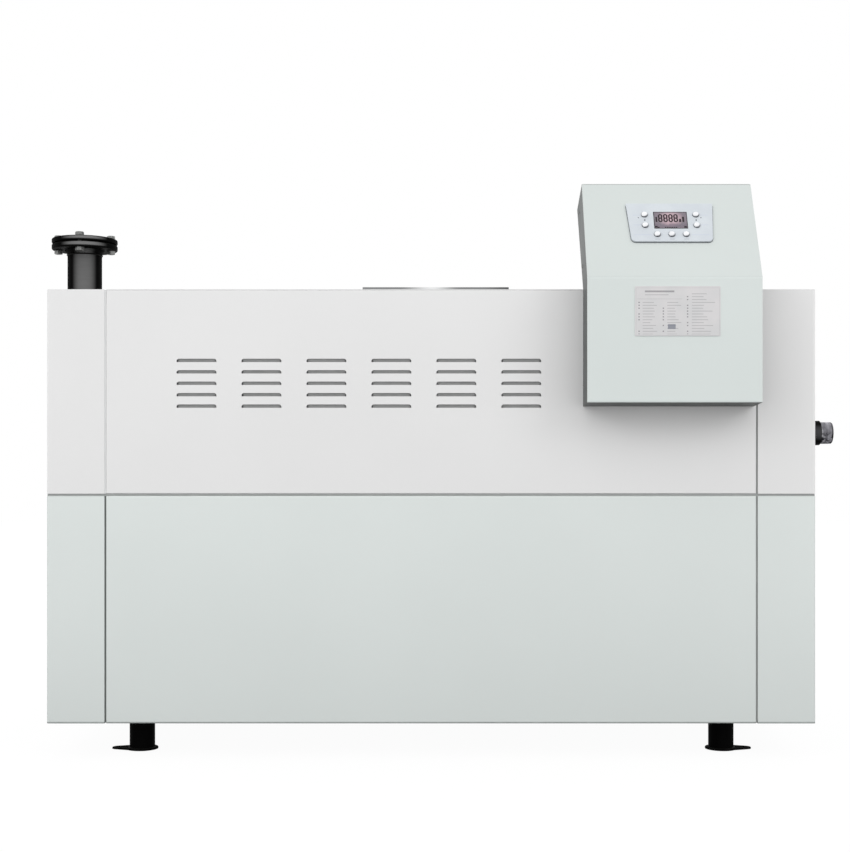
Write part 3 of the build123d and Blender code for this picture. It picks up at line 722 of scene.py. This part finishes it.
WELD = weld_metal("painted_weld")
# One rubber in three tones: the lit seal is lightened as painted light and the shaded seal darkened as
# painted shade of its seam
LIT_SEAL = rubber_seal("lit_seal", screen(231, 232, 232), screen(236, 237, 237))
GREY_SEAL = rubber_seal("grey_seal", screen(160, 163, 162), screen(172, 174, 173))
SHADED_SEAL = rubber_seal("shaded_seal", screen(124, 128, 126), screen(136, 139, 138))
BEZEL = bezel_plastic("bezel_plastic")
CELL = display_glass("display_cell")
SEGMENT_INK = crystal_black("display_segments", screen(14, 4, 10))
FRAME_INK = crystal_black("display_border", screen(38, 36, 40))
CAP = button_cap("button_plastic")
# The collars' dark grey stands in for the shade round each button cap
RING = rubber_seal("button_shade_collar", screen(84, 86, 92), screen(98, 100, 106))
LENS = signal_lens("indicator_lens")
# Dark tone of the strip under the bezel is painted shade
BEZEL_SHADE_STRIP = rubber_seal("bezel_shade_strip", screen(96, 100, 104), screen(112, 115, 119))
FOIL = printed_foil("label_foil")

NODE_FINISHES = {
    LOUVRED_WHITE: ("front_upper_panel",),
    WHITE: ("rear_upper_panel", "left_end_upper_panel", "right_end_upper_panel",
            "roof_left_panel", "roof_centre_panel", "roof_right_panel"),
    GREY_GREEN: ("front_lower_panel", "rear_lower_panel", "left_end_lower_panel", "right_end_lower_panel"),
    BOX_GREEN: ("control_box_cover",),
    BOX_SHADED_GREY: ("control_box_body",),
    PRIMER: ("base_long_beams", "base_cross_beams", "corner_posts", "seam_posts", "top_rails",
             "middle_rails", "roof_bars"),
    FLANGE_BLACK: ("flow_flange", "blind_flange"),
    SOCKET_BLACK: ("gas_socket", "gas_pipe"),
    PIPE_BLACK: ("flow_pipe",),
    LEG_BLACK: ("foot_plate_front_left", "foot_plate_front_right", "foot_plate_rear_left",
                "foot_plate_rear_right", "leg_front_left", "leg_front_right", "leg_rear_left",
                "leg_rear_right"),
    ZINC_SHEET: ("floor_panel", "heat_exchanger_jacket"),
    ZINC_PLATE: ("flange_bolts", "control_box_screws"),
    ZINC_THREAD: ("gas_nipple",),
    STEEL: ("flue_curb",),
    STEEL_DUCT: ("flue_duct",),
    GASKET: ("flange_gasket",),
    BEZEL: ("control_bezel",),
    CELL: ("display_window",),
    CAP: ("control_buttons",),
    FOIL: ("label_plate",),
}
for finish, names in NODE_FINISHES.items():
    for name in names:
        surface = NODES[name].data
        surface.materials.clear()
        surface.materials.append(finish)


# Making of the loose pieces

def clear_selection():
    if bpy.context.mode != "OBJECT":
        bpy.ops.object.mode_set(mode="OBJECT")
    bpy.ops.object.select_all(action="DESELECT")


def edit(kind="VERT"):
    """Opens the active piece for editing with all of it selected."""
    bpy.ops.object.mode_set(mode="EDIT")
    bpy.ops.mesh.select_mode(type=kind)
    bpy.ops.mesh.select_all(action="SELECT")


def pick_faces(test):
    """Selects the faces of the piece in hand whose middle and normal pass a test."""
    bpy.ops.mesh.select_mode(type="FACE")
    bpy.ops.mesh.select_all(action="DESELECT")
    mesh = bmesh.from_edit_mesh(bpy.context.object.data)
    for face in mesh.faces:
        if test(face.calc_center_median(), face.normal):
            face.select_set(True)
    mesh.select_flush_mode()
    bmesh.update_edit_mesh(bpy.context.object.data)


def pick_points(test):
    """Selects the corners of the piece in hand whose place passes a test."""
    bpy.ops.mesh.select_mode(type="VERT")
    bpy.ops.mesh.select_all(action="DESELECT")
    mesh = bmesh.from_edit_mesh(bpy.context.object.data)
    for point in mesh.verts:
        point.select_set(test(point.co))
    mesh.select_flush_mode()
    bmesh.update_edit_mesh(bpy.context.object.data)


def smooth(piece, degrees=35.0):
    clear_selection()
    bpy.context.view_layer.objects.active = piece
    piece.select_set(True)
    bpy.ops.object.shade_smooth_by_angle(angle=math.radians(degrees))


def turned(outline, steps):
    """Solid turned about Z from an outline of (radius, height) points, drawn point by point and spun."""
    clear_selection()
    bpy.ops.mesh.primitive_plane_add(size=MM, location=(0.0, 0.0, 0.0))
    piece = bpy.context.object
    edit()
    bpy.ops.mesh.merge(type="CENTER")
    bpy.ops.transform.translate(value=(outline[0][0], 0.0, outline[0][1]))
    for before, after in zip(outline, outline[1:]):
        step = (after[0] - before[0], 0.0, after[1] - before[1])
        bpy.ops.mesh.extrude_region_move(TRANSFORM_OT_translate={"value": step})
    bpy.ops.mesh.select_all(action="SELECT")
    bpy.ops.mesh.spin(steps=steps, angle=FULL_TURN, center=(0.0, 0.0, 0.0), axis=(0.0, 0.0, 1.0))
    bpy.ops.mesh.select_all(action="SELECT")
    bpy.ops.mesh.remove_doubles(threshold=MM / 1000)
    bpy.ops.mesh.normals_make_consistent(inside=False)
    bpy.ops.object.mode_set(mode="OBJECT")
    return piece


def cross(piece, other, operation):
    """Cuts one solid with another, or keeps what they share, and leaves the first."""
    step = piece.modifiers.new("cut", "BOOLEAN")
    step.operation = operation
    step.solver = "EXACT"
    step.object = other
    apply(piece, step)
    bpy.data.objects.remove(other)


def apply(piece, step):
    clear_selection()
    bpy.context.view_layer.objects.active = piece
    piece.select_set(True)
    bpy.ops.object.modifier_apply(modifier=step.name)


def join(pieces):
    clear_selection()
    for piece in pieces:
        piece.select_set(True)
    bpy.context.view_layer.objects.active = pieces[0]
    bpy.ops.object.join()
    return pieces[0]


def bar(size, middle, edge, segments=2):
    """Rectangular bar with its edges broken."""
    clear_selection()
    bpy.ops.mesh.primitive_cube_add(size=1.0, location=middle, scale=size)
    piece = bpy.context.object
    bpy.ops.object.transform_apply(location=True, rotation=True, scale=True)
    edit("EDGE")
    bpy.ops.mesh.bevel(offset=edge, segments=segments, affect="EDGES")
    bpy.ops.object.mode_set(mode="OBJECT")
    return piece


def twin(piece, matrix):
    """Copy of a finished shape with its own mesh, moved to its place."""
    copy = piece.copy()
    copy.data = piece.data.copy()
    bpy.context.scene.collection.objects.link(copy)
    copy.data.transform(matrix)
    return copy


def seat(piece, name, finish, replaced=()):
    """Names a piece, gives it its finish and fixes it to the boiler."""
    clear_selection()
    bpy.context.view_layer.objects.active = piece
    piece.select_set(True)
    bpy.ops.object.transform_apply(location=True, rotation=True, scale=True)
    piece.name = name
    piece.data.name = name
    piece.data.materials.clear()
    piece.data.materials.append(finish)
    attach(piece, "root")
    if replaced:
        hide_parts(*replaced)
    return piece


def on_slope(across, up, out=0.0):
    """Matrix that sets a piece made about Z onto the leaning face."""
    place = SLOPE_ORIGIN + Vector((across, 0.0, 0.0)) + UP_SLOPE * up + OUT_OF_SLOPE * out
    turn = Matrix((Vector((1.0, 0.0, 0.0)), UP_SLOPE, OUT_OF_SLOPE)).transposed()
    return Matrix.Translation(place) @ turn.to_4x4()


def rippled_ring(name, place, radius, thickness, finish):
    """Ring of weld metal with uneven ripples."""
    clear_selection()
    bpy.ops.mesh.primitive_torus_add(major_radius=radius, minor_radius=thickness, major_segments=120,
                                     minor_segments=10, location=place)
    piece = bpy.context.object
    grain = bpy.data.textures.new(name + "_ripple", "CLOUDS")
    grain.noise_scale = thickness * 1.6
    step = piece.modifiers.new("ripple", "DISPLACE")
    step.texture = grain
    step.texture_coords = "LOCAL"
    step.strength = thickness * 0.55
    step.mid_level = 0.5
    apply(piece, step)
    smooth(piece, 60.0)
    return seat(piece, name, finish)


def make_welds():
    """Welds between the flow pipe and its hub and between the legs and their plates."""
    pipe_low, pipe_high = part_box("flow_pipe")
    pipe_middle = (pipe_low + pipe_high) / 2
    rippled_ring("hub_weld", (pipe_middle.x, pipe_middle.y, pipe_high.z), PIPE_RADIUS + HUB_WELD_PLAY,
                 HUB_WELD, WELD)
    for side_x, word_x in ((-1, "left"), (1, "right")):
        for side_y, word_y in ((-1, "front"), (1, "rear")):
            rippled_ring("leg_weld_" + word_y + "_" + word_x,
                         (side_x * LEG_X, side_y * LEG_Y, FOOT_THICKNESS), LEG_RADIUS + LEG_WELD_PLAY,
                         LEG_WELD, WELD)


def make_flue_bead():
    """Bead where the duct meets the top of the curb."""
    duct_low, duct_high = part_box("flue_duct")
    middle = (duct_low + duct_high) / 2
    piece = rippled_ring("flue_seal_bead", (middle.x, middle.y, duct_high.z - FLUE_BEAD_SINK),
                         (duct_high.x - duct_low.x) / 2, FLUE_BEAD, STEEL)


def make_bolts():
    """Four studs with thread ends and chamfered hexagon nuts."""
    flange_low, flange_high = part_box("flow_flange")
    middle = (flange_low + flange_high) / 2
    pipe_axis = Vector((middle.x, middle.y, 0.0))
    corner = NUT_ACROSS / math.sqrt(3)
    face = NUT_ACROSS * NUT_FACE
    drop = (corner - face) * NUT_SLOPE
    play = 0.1 * MM

    clear_selection()
    bpy.ops.mesh.primitive_cylinder_add(vertices=6, radius=corner, depth=NUT_HEIGHT,
                                        location=(0.0, 0.0, NUT_HEIGHT / 2))
    nut = bpy.context.object
    blank = turned([(0.0, 0.0), (face, 0.0), (corner + play, drop), (corner + play, NUT_HEIGHT - drop),
                    (face, NUT_HEIGHT), (0.0, NUT_HEIGHT)], 64)
    cross(nut, blank, "INTERSECT")
    smooth(nut, 25.0)

    low = FLANGE_BOTTOM - NUT_HEIGHT - BOLT_END
    high = FLANGE_TOP + NUT_HEIGHT + BOLT_END
    root = BOLT_RADIUS - BOLT_THREAD_DEPTH
    end = BOLT_END / 4
    half = [(0.0, high), (root - end, high), (BOLT_RADIUS, high - end), (root, high - 2 * end),
            (BOLT_RADIUS, high - 3 * end), (root, high - 4 * end)]
    flip = [(radius, low + high - height) for radius, height in reversed(half)]
    stud = turned(half + flip, 32)
    smooth(stud, 50.0)

    for k in range(BOLT_COUNT):
        angle = BOLT_TURN + FULL_TURN * k / BOLT_COUNT
        spot = pipe_axis + Vector((math.cos(angle), math.sin(angle), 0.0)) * BOLT_REACH
        tightened = Matrix.Rotation(angle * BOLT_TURN_STEP + k, 4, "Z")
        bolt = [twin(stud, Matrix.Translation(spot))]
        for height in (FLANGE_TOP, FLANGE_BOTTOM - NUT_HEIGHT):
            lay = Matrix.Translation(spot + Vector((0.0, 0.0, height))) @ tightened
            bolt.append(twin(nut, lay))
        seat(join(bolt), "flange_stud_" + str(k + 1), ZINC_PLATE, ["flange_bolts"])
    bpy.data.objects.remove(nut)
    bpy.data.objects.remove(stud)


def make_gas_thread():
    """Nipple with a relief neck and cut thread ridges, bored through."""
    low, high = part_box("gas_nipple")
    middle = (low + high) / 2
    length = high.x - low.x
    root = THREAD_RADIUS - THREAD_DEPTH
    neck = root - THREAD_PLAY
    outline = [(GAS_BORE_RADIUS, 0.0), (neck, 0.0), (neck, THREAD_RELIEF)]
    height = THREAD_RELIEF
    while height + THREAD_PITCH < length - THREAD_LEAD:
        for share in THREAD_CREST:
            outline.append((THREAD_RADIUS, height + THREAD_PITCH * share))
        height += THREAD_PITCH
        outline.append((root, height))
    outline += [(root + THREAD_DEPTH * 0.4, length - THREAD_LEAD), (root - THREAD_LEAD / 2, length),
                (GAS_BORE_RADIUS + THREAD_LEAD / 2, length), (GAS_BORE_RADIUS, length - THREAD_LEAD),
                (GAS_BORE_RADIUS, 0.0)]
    nipple = turned(outline, 96)
    smooth(nipple, 30.0)
    lay = Matrix.Translation((low.x, middle.y, middle.z)) @ Matrix.Rotation(math.pi / 2, 4, "Y")
    nipple.data.transform(lay)
    seat(nipple, "gas_thread", ZINC_THREAD, ["gas_nipple"])


def make_screws():
    """Pan-head screws with a cross recess in both sides of the control box."""
    r = SCREW_RADIUS
    head = turned([(0.0, 0.0), (r, 0.0), (r, 0.9 * MM), (r * 0.93, 1.7 * MM), (r * 0.76, 2.4 * MM),
                   (r * 0.45, 2.85 * MM), (0.0, SCREW_HEIGHT)], 40)
    reach = r * 1.05
    for width, length in ((reach, SCREW_SLOT), (SCREW_SLOT, reach)):
        slot = bar((width, length, 2 * SCREW_SLOT_DEPTH), (0.0, 0.0, SCREW_HEIGHT), SCREW_SLOT_EDGE)
        cross(head, slot, "DIFFERENCE")
    smooth(head, 30.0)
    count = 0
    for side_x, out in SCREW_SIDES:
        for place_y, place_z in SCREW_PLACES:
            count += 1
            turn = Matrix.Rotation(out * math.pi / 2, 4, "Y")
            lay = Matrix.Translation((side_x, place_y, place_z)) @ turn
            tightened = Matrix.Rotation(SCREW_TURN * count, 4, "Z")
            seat(twin(head, lay @ tightened), "box_screw_" + str(count), ZINC_PLATE,
                 ["control_box_screws"])
    bpy.data.objects.remove(head)


def make_buttons():
    """Domed button caps, each in a soft grey collar whose dark tone stands in for the shade round the cap,
    and two indicator lenses.
    """
    r = BUTTON_RADIUS
    cap = turned([(0.0, -SINK), (r, -SINK), (r, 2.6 * MM), (r * 0.975, 3.5 * MM),
                  (r * 0.90, 4.4 * MM), (r * 0.77, 5.1 * MM), (r * 0.56, 5.6 * MM), (r * 0.30, 5.9 * MM),
                  (0.0, 6.0 * MM)], 56)
    smooth(cap, 40.0)
    ring = turned([(r - 0.1 * MM, -SINK), (r + 0.8 * MM, -SINK), (r + 0.7 * MM, 2.2 * MM),
                   (r + 0.5 * MM, 2.6 * MM), (r + 0.2 * MM, 2.7 * MM), (r - 0.1 * MM, 2.5 * MM),
                   (r - 0.1 * MM, -SINK)], 56)
    smooth(ring, 40.0)
    for count, (across, up) in enumerate(BUTTON_PLACES, 1):
        lay = on_slope(across, up, BEZEL_TOP)
        seat(twin(cap, lay), "button_" + str(count), CAP, ["control_buttons"])
        seat(twin(ring, lay), "button_ring_" + str(count), RING)
    lens = turned([(0.0, -SINK), (1.7 * MM, -SINK), (1.7 * MM, 0.3 * MM), (1.3 * MM, 0.8 * MM),
                   (0.7 * MM, 1.1 * MM), (0.0, 1.2 * MM)], 28)
    smooth(lens, 40.0)
    for count, (across, up) in enumerate(LAMP_PLACES, 1):
        seat(twin(lens, on_slope(across, up, BEZEL_TOP)), "indicator_" + str(count), LENS)
    for made in (cap, ring, lens):
        bpy.data.objects.remove(made)


def segment(length, width, thickness):
    """Flat bar of a digit with pointed ends, lying along X."""
    clear_selection()
    bpy.ops.mesh.primitive_cube_add(size=1.0, location=(0.0, 0.0, thickness / 2),
                                    scale=(length - width, width, thickness))
    piece = bpy.context.object
    bpy.ops.object.transform_apply(location=True, rotation=True, scale=True)
    edit("FACE")
    for side in (-1, 1):
        pick_faces(lambda middle, normal: normal.x * side > 0.9)
        bpy.ops.mesh.extrude_region_move(TRANSFORM_OT_translate={"value": (side * width / 2, 0.0, 0.0)})
        bpy.ops.transform.resize(value=(1.0, 0.25, 1.0), center_override=(side * length / 2, 0.0, 0.0))
    bpy.ops.object.mode_set(mode="OBJECT")
    return piece


def make_digits():
    """Seven-bar digits of the display, all bars shown."""
    side = DIGIT_HEIGHT / 2
    level = segment(DIGIT_WIDTH, DIGIT_STROKE, PRINT_THICKNESS)
    upright = segment(side - DIGIT_PLAY, DIGIT_STROKE, PRINT_THICKNESS)
    stand = Matrix.Rotation(math.pi / 2, 4, "Z")
    strokes = []
    for digit in DIGIT_PLACES:
        for height in (-1, 0, 1):
            lay = on_slope(digit, DIGIT_MIDDLE + height * side, DISPLAY_FACE)
            strokes.append(twin(level, lay))
        for across in (-DIGIT_WIDTH / 2, DIGIT_WIDTH / 2):
            for height in (-side / 2, side / 2):
                lay = on_slope(digit + across, DIGIT_MIDDLE + height, DISPLAY_FACE)
                strokes.append(twin(upright, lay @ stand))
    seat(join(strokes), "display_digits", SEGMENT_INK)
    bpy.data.objects.remove(level)
    bpy.data.objects.remove(upright)


def make_bars():
    """Plain bars beside the digits and a row of dashes under them."""
    rows = list(DISPLAY_BARS)
    for k in range(DASH_COUNT):
        rows.append((DASH_START[0] + k * DASH_STEP, DASH_START[1], *DASH_SIZE))
    bars = []
    for across, rise, width, height in rows:
        piece = bar((width, height, PRINT_THICKNESS), (0.0, 0.0, PRINT_THICKNESS / 2), BAR_EDGE, 1)
        piece.data.transform(on_slope(across, DISPLAY_MIDDLE + rise, DISPLAY_FACE))
        bars.append(piece)
    seat(join(bars), "display_bars", SEGMENT_INK)


def make_border():
    """Thin frame round the display."""
    clear_selection()
    bpy.ops.mesh.primitive_plane_add(size=1.0, location=(0.0, 0.0, 0.0))
    border = bpy.context.object
    border.scale = (DISPLAY_WIDTH, DISPLAY_HEIGHT, 1.0)
    bpy.ops.object.transform_apply(location=True, rotation=True, scale=True)
    edit("FACE")
    bpy.ops.mesh.inset(thickness=BORDER_WIDTH)
    bpy.ops.mesh.delete(type="FACE")
    bpy.ops.object.mode_set(mode="OBJECT")
    step = border.modifiers.new("wall", "SOLIDIFY")
    step.thickness = 2 * PRINT_THICKNESS
    step.offset = 1.0
    apply(border, step)
    step = border.modifiers.new("edge", "BEVEL")
    step.width = BORDER_EDGE
    step.segments = 2
    apply(border, step)
    border.data.transform(on_slope(PANEL_SHIFT, DISPLAY_MIDDLE, DISPLAY_FACE))
    seat(border, "display_border", FRAME_INK)


def seal_bar(size, middle, side):
    """Upright rubber bar for a seam, with a groove drawn down its outer face."""
    piece = bar(size, middle, SEAL_EDGE)
    edit("FACE")
    reach = size[1] / 2
    pick_faces(lambda at, normal: normal.y * side > 0.9 and (at.y - middle[1]) * side > reach * 0.9)
    bpy.ops.mesh.inset(thickness=SEAL_LIP)
    bpy.ops.mesh.extrude_region_move(TRANSFORM_OT_translate={"value": (0.0, -side * SEAL_GROOVE, 0.0)})
    bpy.ops.object.mode_set(mode="OBJECT")
    return piece


def make_seals():
    """Rubber profiles in the upright seams and one closed ring in the level seam."""
    half = LEVEL_SEAM / 2
    spans = {"upper": (LEVEL_SEAM_Z + half, PANEL_TOP),
             "lower": (CABINET_BOTTOM + SEAL_RISE, LEVEL_SEAM_Z - half)}
    # The lit and shaded seals carry the painted light and painted shade of their seams
    rows = (("front_left", -1, -1, "upper", LIT_SEAL, SHALLOW_SEAL),
            ("front_left", -1, -1, "lower", SHADED_SEAL, DEEP_SEAL),
            ("front_right", 1, -1, "upper", GREY_SEAL, PLAIN_SEAL),
            ("front_right", 1, -1, "lower", GREY_SEAL, PLAIN_SEAL),
            ("rear_left", -1, 1, "upper", GREY_SEAL, PLAIN_SEAL),
            ("rear_left", -1, 1, "lower", GREY_SEAL, PLAIN_SEAL),
            ("rear_right", 1, 1, "upper", GREY_SEAL, PLAIN_SEAL),
            ("rear_right", 1, 1, "lower", GREY_SEAL, PLAIN_SEAL))
    width = UPRIGHT_SEAM - 2 * SEAL_PLAY
    for place, side_x, side_y, span, finish, depth in rows:
        low, high = spans[span]
        outer = -FRONT_Y - depth
        size = (width, outer - FRAME_Y, high - low)
        middle = (side_x * SEAM_X, side_y * (outer + FRAME_Y) / 2, (low + high) / 2)
        piece = seal_bar(size, middle, side_y)
        seat(piece, "seam_seal_" + place + "_" + span, finish)

    outer_x = END_X - LEVEL_SEAL
    outer_y = -FRONT_Y - LEVEL_SEAL
    height = LEVEL_SEAM - 2 * SEAL_PLAY
    ring = bar((2 * outer_x, 2 * outer_y, height), (0.0, 0.0, LEVEL_SEAM_Z), RING_EDGE)
    hole = bar((2 * FRAME_X, 2 * FRAME_Y, 2 * height), (0.0, 0.0, LEVEL_SEAM_Z), RING_INNER_EDGE)
    cross(ring, hole, "DIFFERENCE")
    seat(ring, "level_seam_seal", GREY_SEAL)


def make_bezel_shade_strip():
    """Dark strip under the rim of the bezel that stands in for the shade along its sides and lower edge."""
    clear_selection()
    bpy.ops.mesh.primitive_plane_add(size=1.0, location=(0.0, 0.0, 0.0))
    strip = bpy.context.object
    height = BEZEL_HIGH - BEZEL_LOW
    strip.scale = (BEZEL_BOTTOM_WIDTH + 2 * SHADE_STRIP_OVERHANG[0], height, 1.0)
    bpy.ops.object.transform_apply(location=True, rotation=True, scale=True)
    edit()
    pick_points(lambda place: place.y > 0.0)
    bpy.ops.transform.resize(value=(BEZEL_TOP_WIDTH / BEZEL_BOTTOM_WIDTH, 1.0, 1.0))
    bpy.ops.transform.translate(value=(0.0, -SHADE_STRIP_WIDTH, 0.0))
    pick_points(lambda place: place.y < 0.0)
    bpy.ops.transform.translate(value=(0.0, -SHADE_STRIP_OVERHANG[1], 0.0))
    bpy.ops.mesh.bevel(offset=BEZEL_CORNER, segments=6, affect="VERTICES")
    bpy.ops.mesh.select_all(action="SELECT")
    bpy.ops.mesh.select_mode(type="FACE")
    bpy.ops.mesh.inset(thickness=SHADE_STRIP_WIDTH)
    bpy.ops.mesh.delete(type="FACE")
    bpy.ops.object.mode_set(mode="OBJECT")
    step = strip.modifiers.new("shade_strip", "SOLIDIFY")
    step.thickness = SHADE_STRIP_THICKNESS + SINK
    step.offset = 1.0
    apply(strip, step)
    smooth(strip, 40.0)
    strip.data.transform(on_slope(PANEL_SHIFT, (BEZEL_HIGH + BEZEL_LOW) / 2, -SINK))
    seat(strip, "bezel_shade_strip", BEZEL_SHADE_STRIP)


make_welds()
make_bolts()
make_gas_thread()
make_screws()
make_buttons()
make_digits()
make_bars()
make_border()
make_bezel_shade_strip()
make_seals()
make_flue_bead()


# Stage, light and camera

def floor_paper():
    """Dull paper that takes the boiler's shadow, white to the eye and dark to the light near the boiler."""
    paper = bpy.data.materials.new("studio_floor")
    tree = NodeTree(paper)
    seen = tree.seen()
    shaped = tree.vector("MULTIPLY", tree.place_on_object(), FLOOR_SHAPE)
    away = tree.vector("LENGTH", shaped, output="Value")
    reach = tree.node("ShaderNodeMapRange", {},
                      {"Value": away, "From Min": FLOOR_REACH[0], "From Max": FLOOR_REACH[1]})
    tone = tree.mix(seen, tree.mix(reach, FLOOR_NEAR, FLOOR_FAR), PAPER_TONE)
    matt = tree.node("ShaderNodeBsdfDiffuse", {}, {"Color": tone})
    glow = tree.node("ShaderNodeEmission", {}, {"Strength": 1.0})
    both = tree.node("ShaderNodeMixShader", {}, {0: seen * FLOOR_GLOW, 1: matt, 2: glow})
    tree.node("ShaderNodeOutputMaterial", {}, {"Surface": both})
    return paper


def make_stage():
    clear_selection()
    bpy.ops.mesh.primitive_plane_add(size=FLOOR_WIDTH, location=(0.0, 0.0, 0.0))
    floor = bpy.context.object
    floor.name = "studio_floor"
    floor.data.materials.append(floor_paper())


def make_surround():
    """White surround for the eye and an even one for the light."""
    world = bpy.data.worlds.new("studio")
    bpy.context.scene.world = world
    tree = NodeTree(world)
    light = tree.node("ShaderNodeBackground", {}, {"Color": PLAIN_WHITE, "Strength": SURROUND})
    sight = tree.node("ShaderNodeBackground", {}, {"Color": PLAIN_WHITE, "Strength": 1.0})
    both = tree.node("ShaderNodeMixShader", {}, {0: tree.seen(), 1: light, 2: sight})
    tree.node("ShaderNodeOutputWorld", {}, {"Surface": both})


def make_lamps():
    """Two wide, weak lamps at the front corners."""
    for name, place, size, power in LAMPS:
        data = bpy.data.lights.new(name, "AREA")
        data.shape = "RECTANGLE"
        data.size, data.size_y = size
        data.energy = power
        lamp = bpy.data.objects.new(name, data)
        bpy.context.scene.collection.objects.link(lamp)
        lamp.location = place
        lamp.rotation_euler = (LAMP_AIM - lamp.location).to_track_quat("-Z", "Y").to_euler()


def make_camera():
    """Level camera in front; its shift follows from the pixel where the view axis meets the picture."""
    data = bpy.data.cameras.new("camera")
    data.sensor_fit = "VERTICAL"
    data.sensor_height = SENSOR
    data.lens = FOCAL_PIXELS / PICTURE_HEIGHT * SENSOR
    data.shift_x = (PICTURE_WIDTH / 2 - AXIS_PIXEL[0]) / PICTURE_HEIGHT
    data.shift_y = (AXIS_PIXEL[1] - PICTURE_HEIGHT / 2) / PICTURE_HEIGHT
    data.clip_end = 100.0
    camera = bpy.data.objects.new("camera", data)
    bpy.context.scene.collection.objects.link(camera)
    camera.location = EYE
    camera.rotation_euler = (math.pi / 2, 0.0, 0.0)
    bpy.context.scene.camera = camera


make_stage()
make_surround()
make_lamps()
make_camera()
bpy.context.scene.view_settings.view_transform = "Standard"
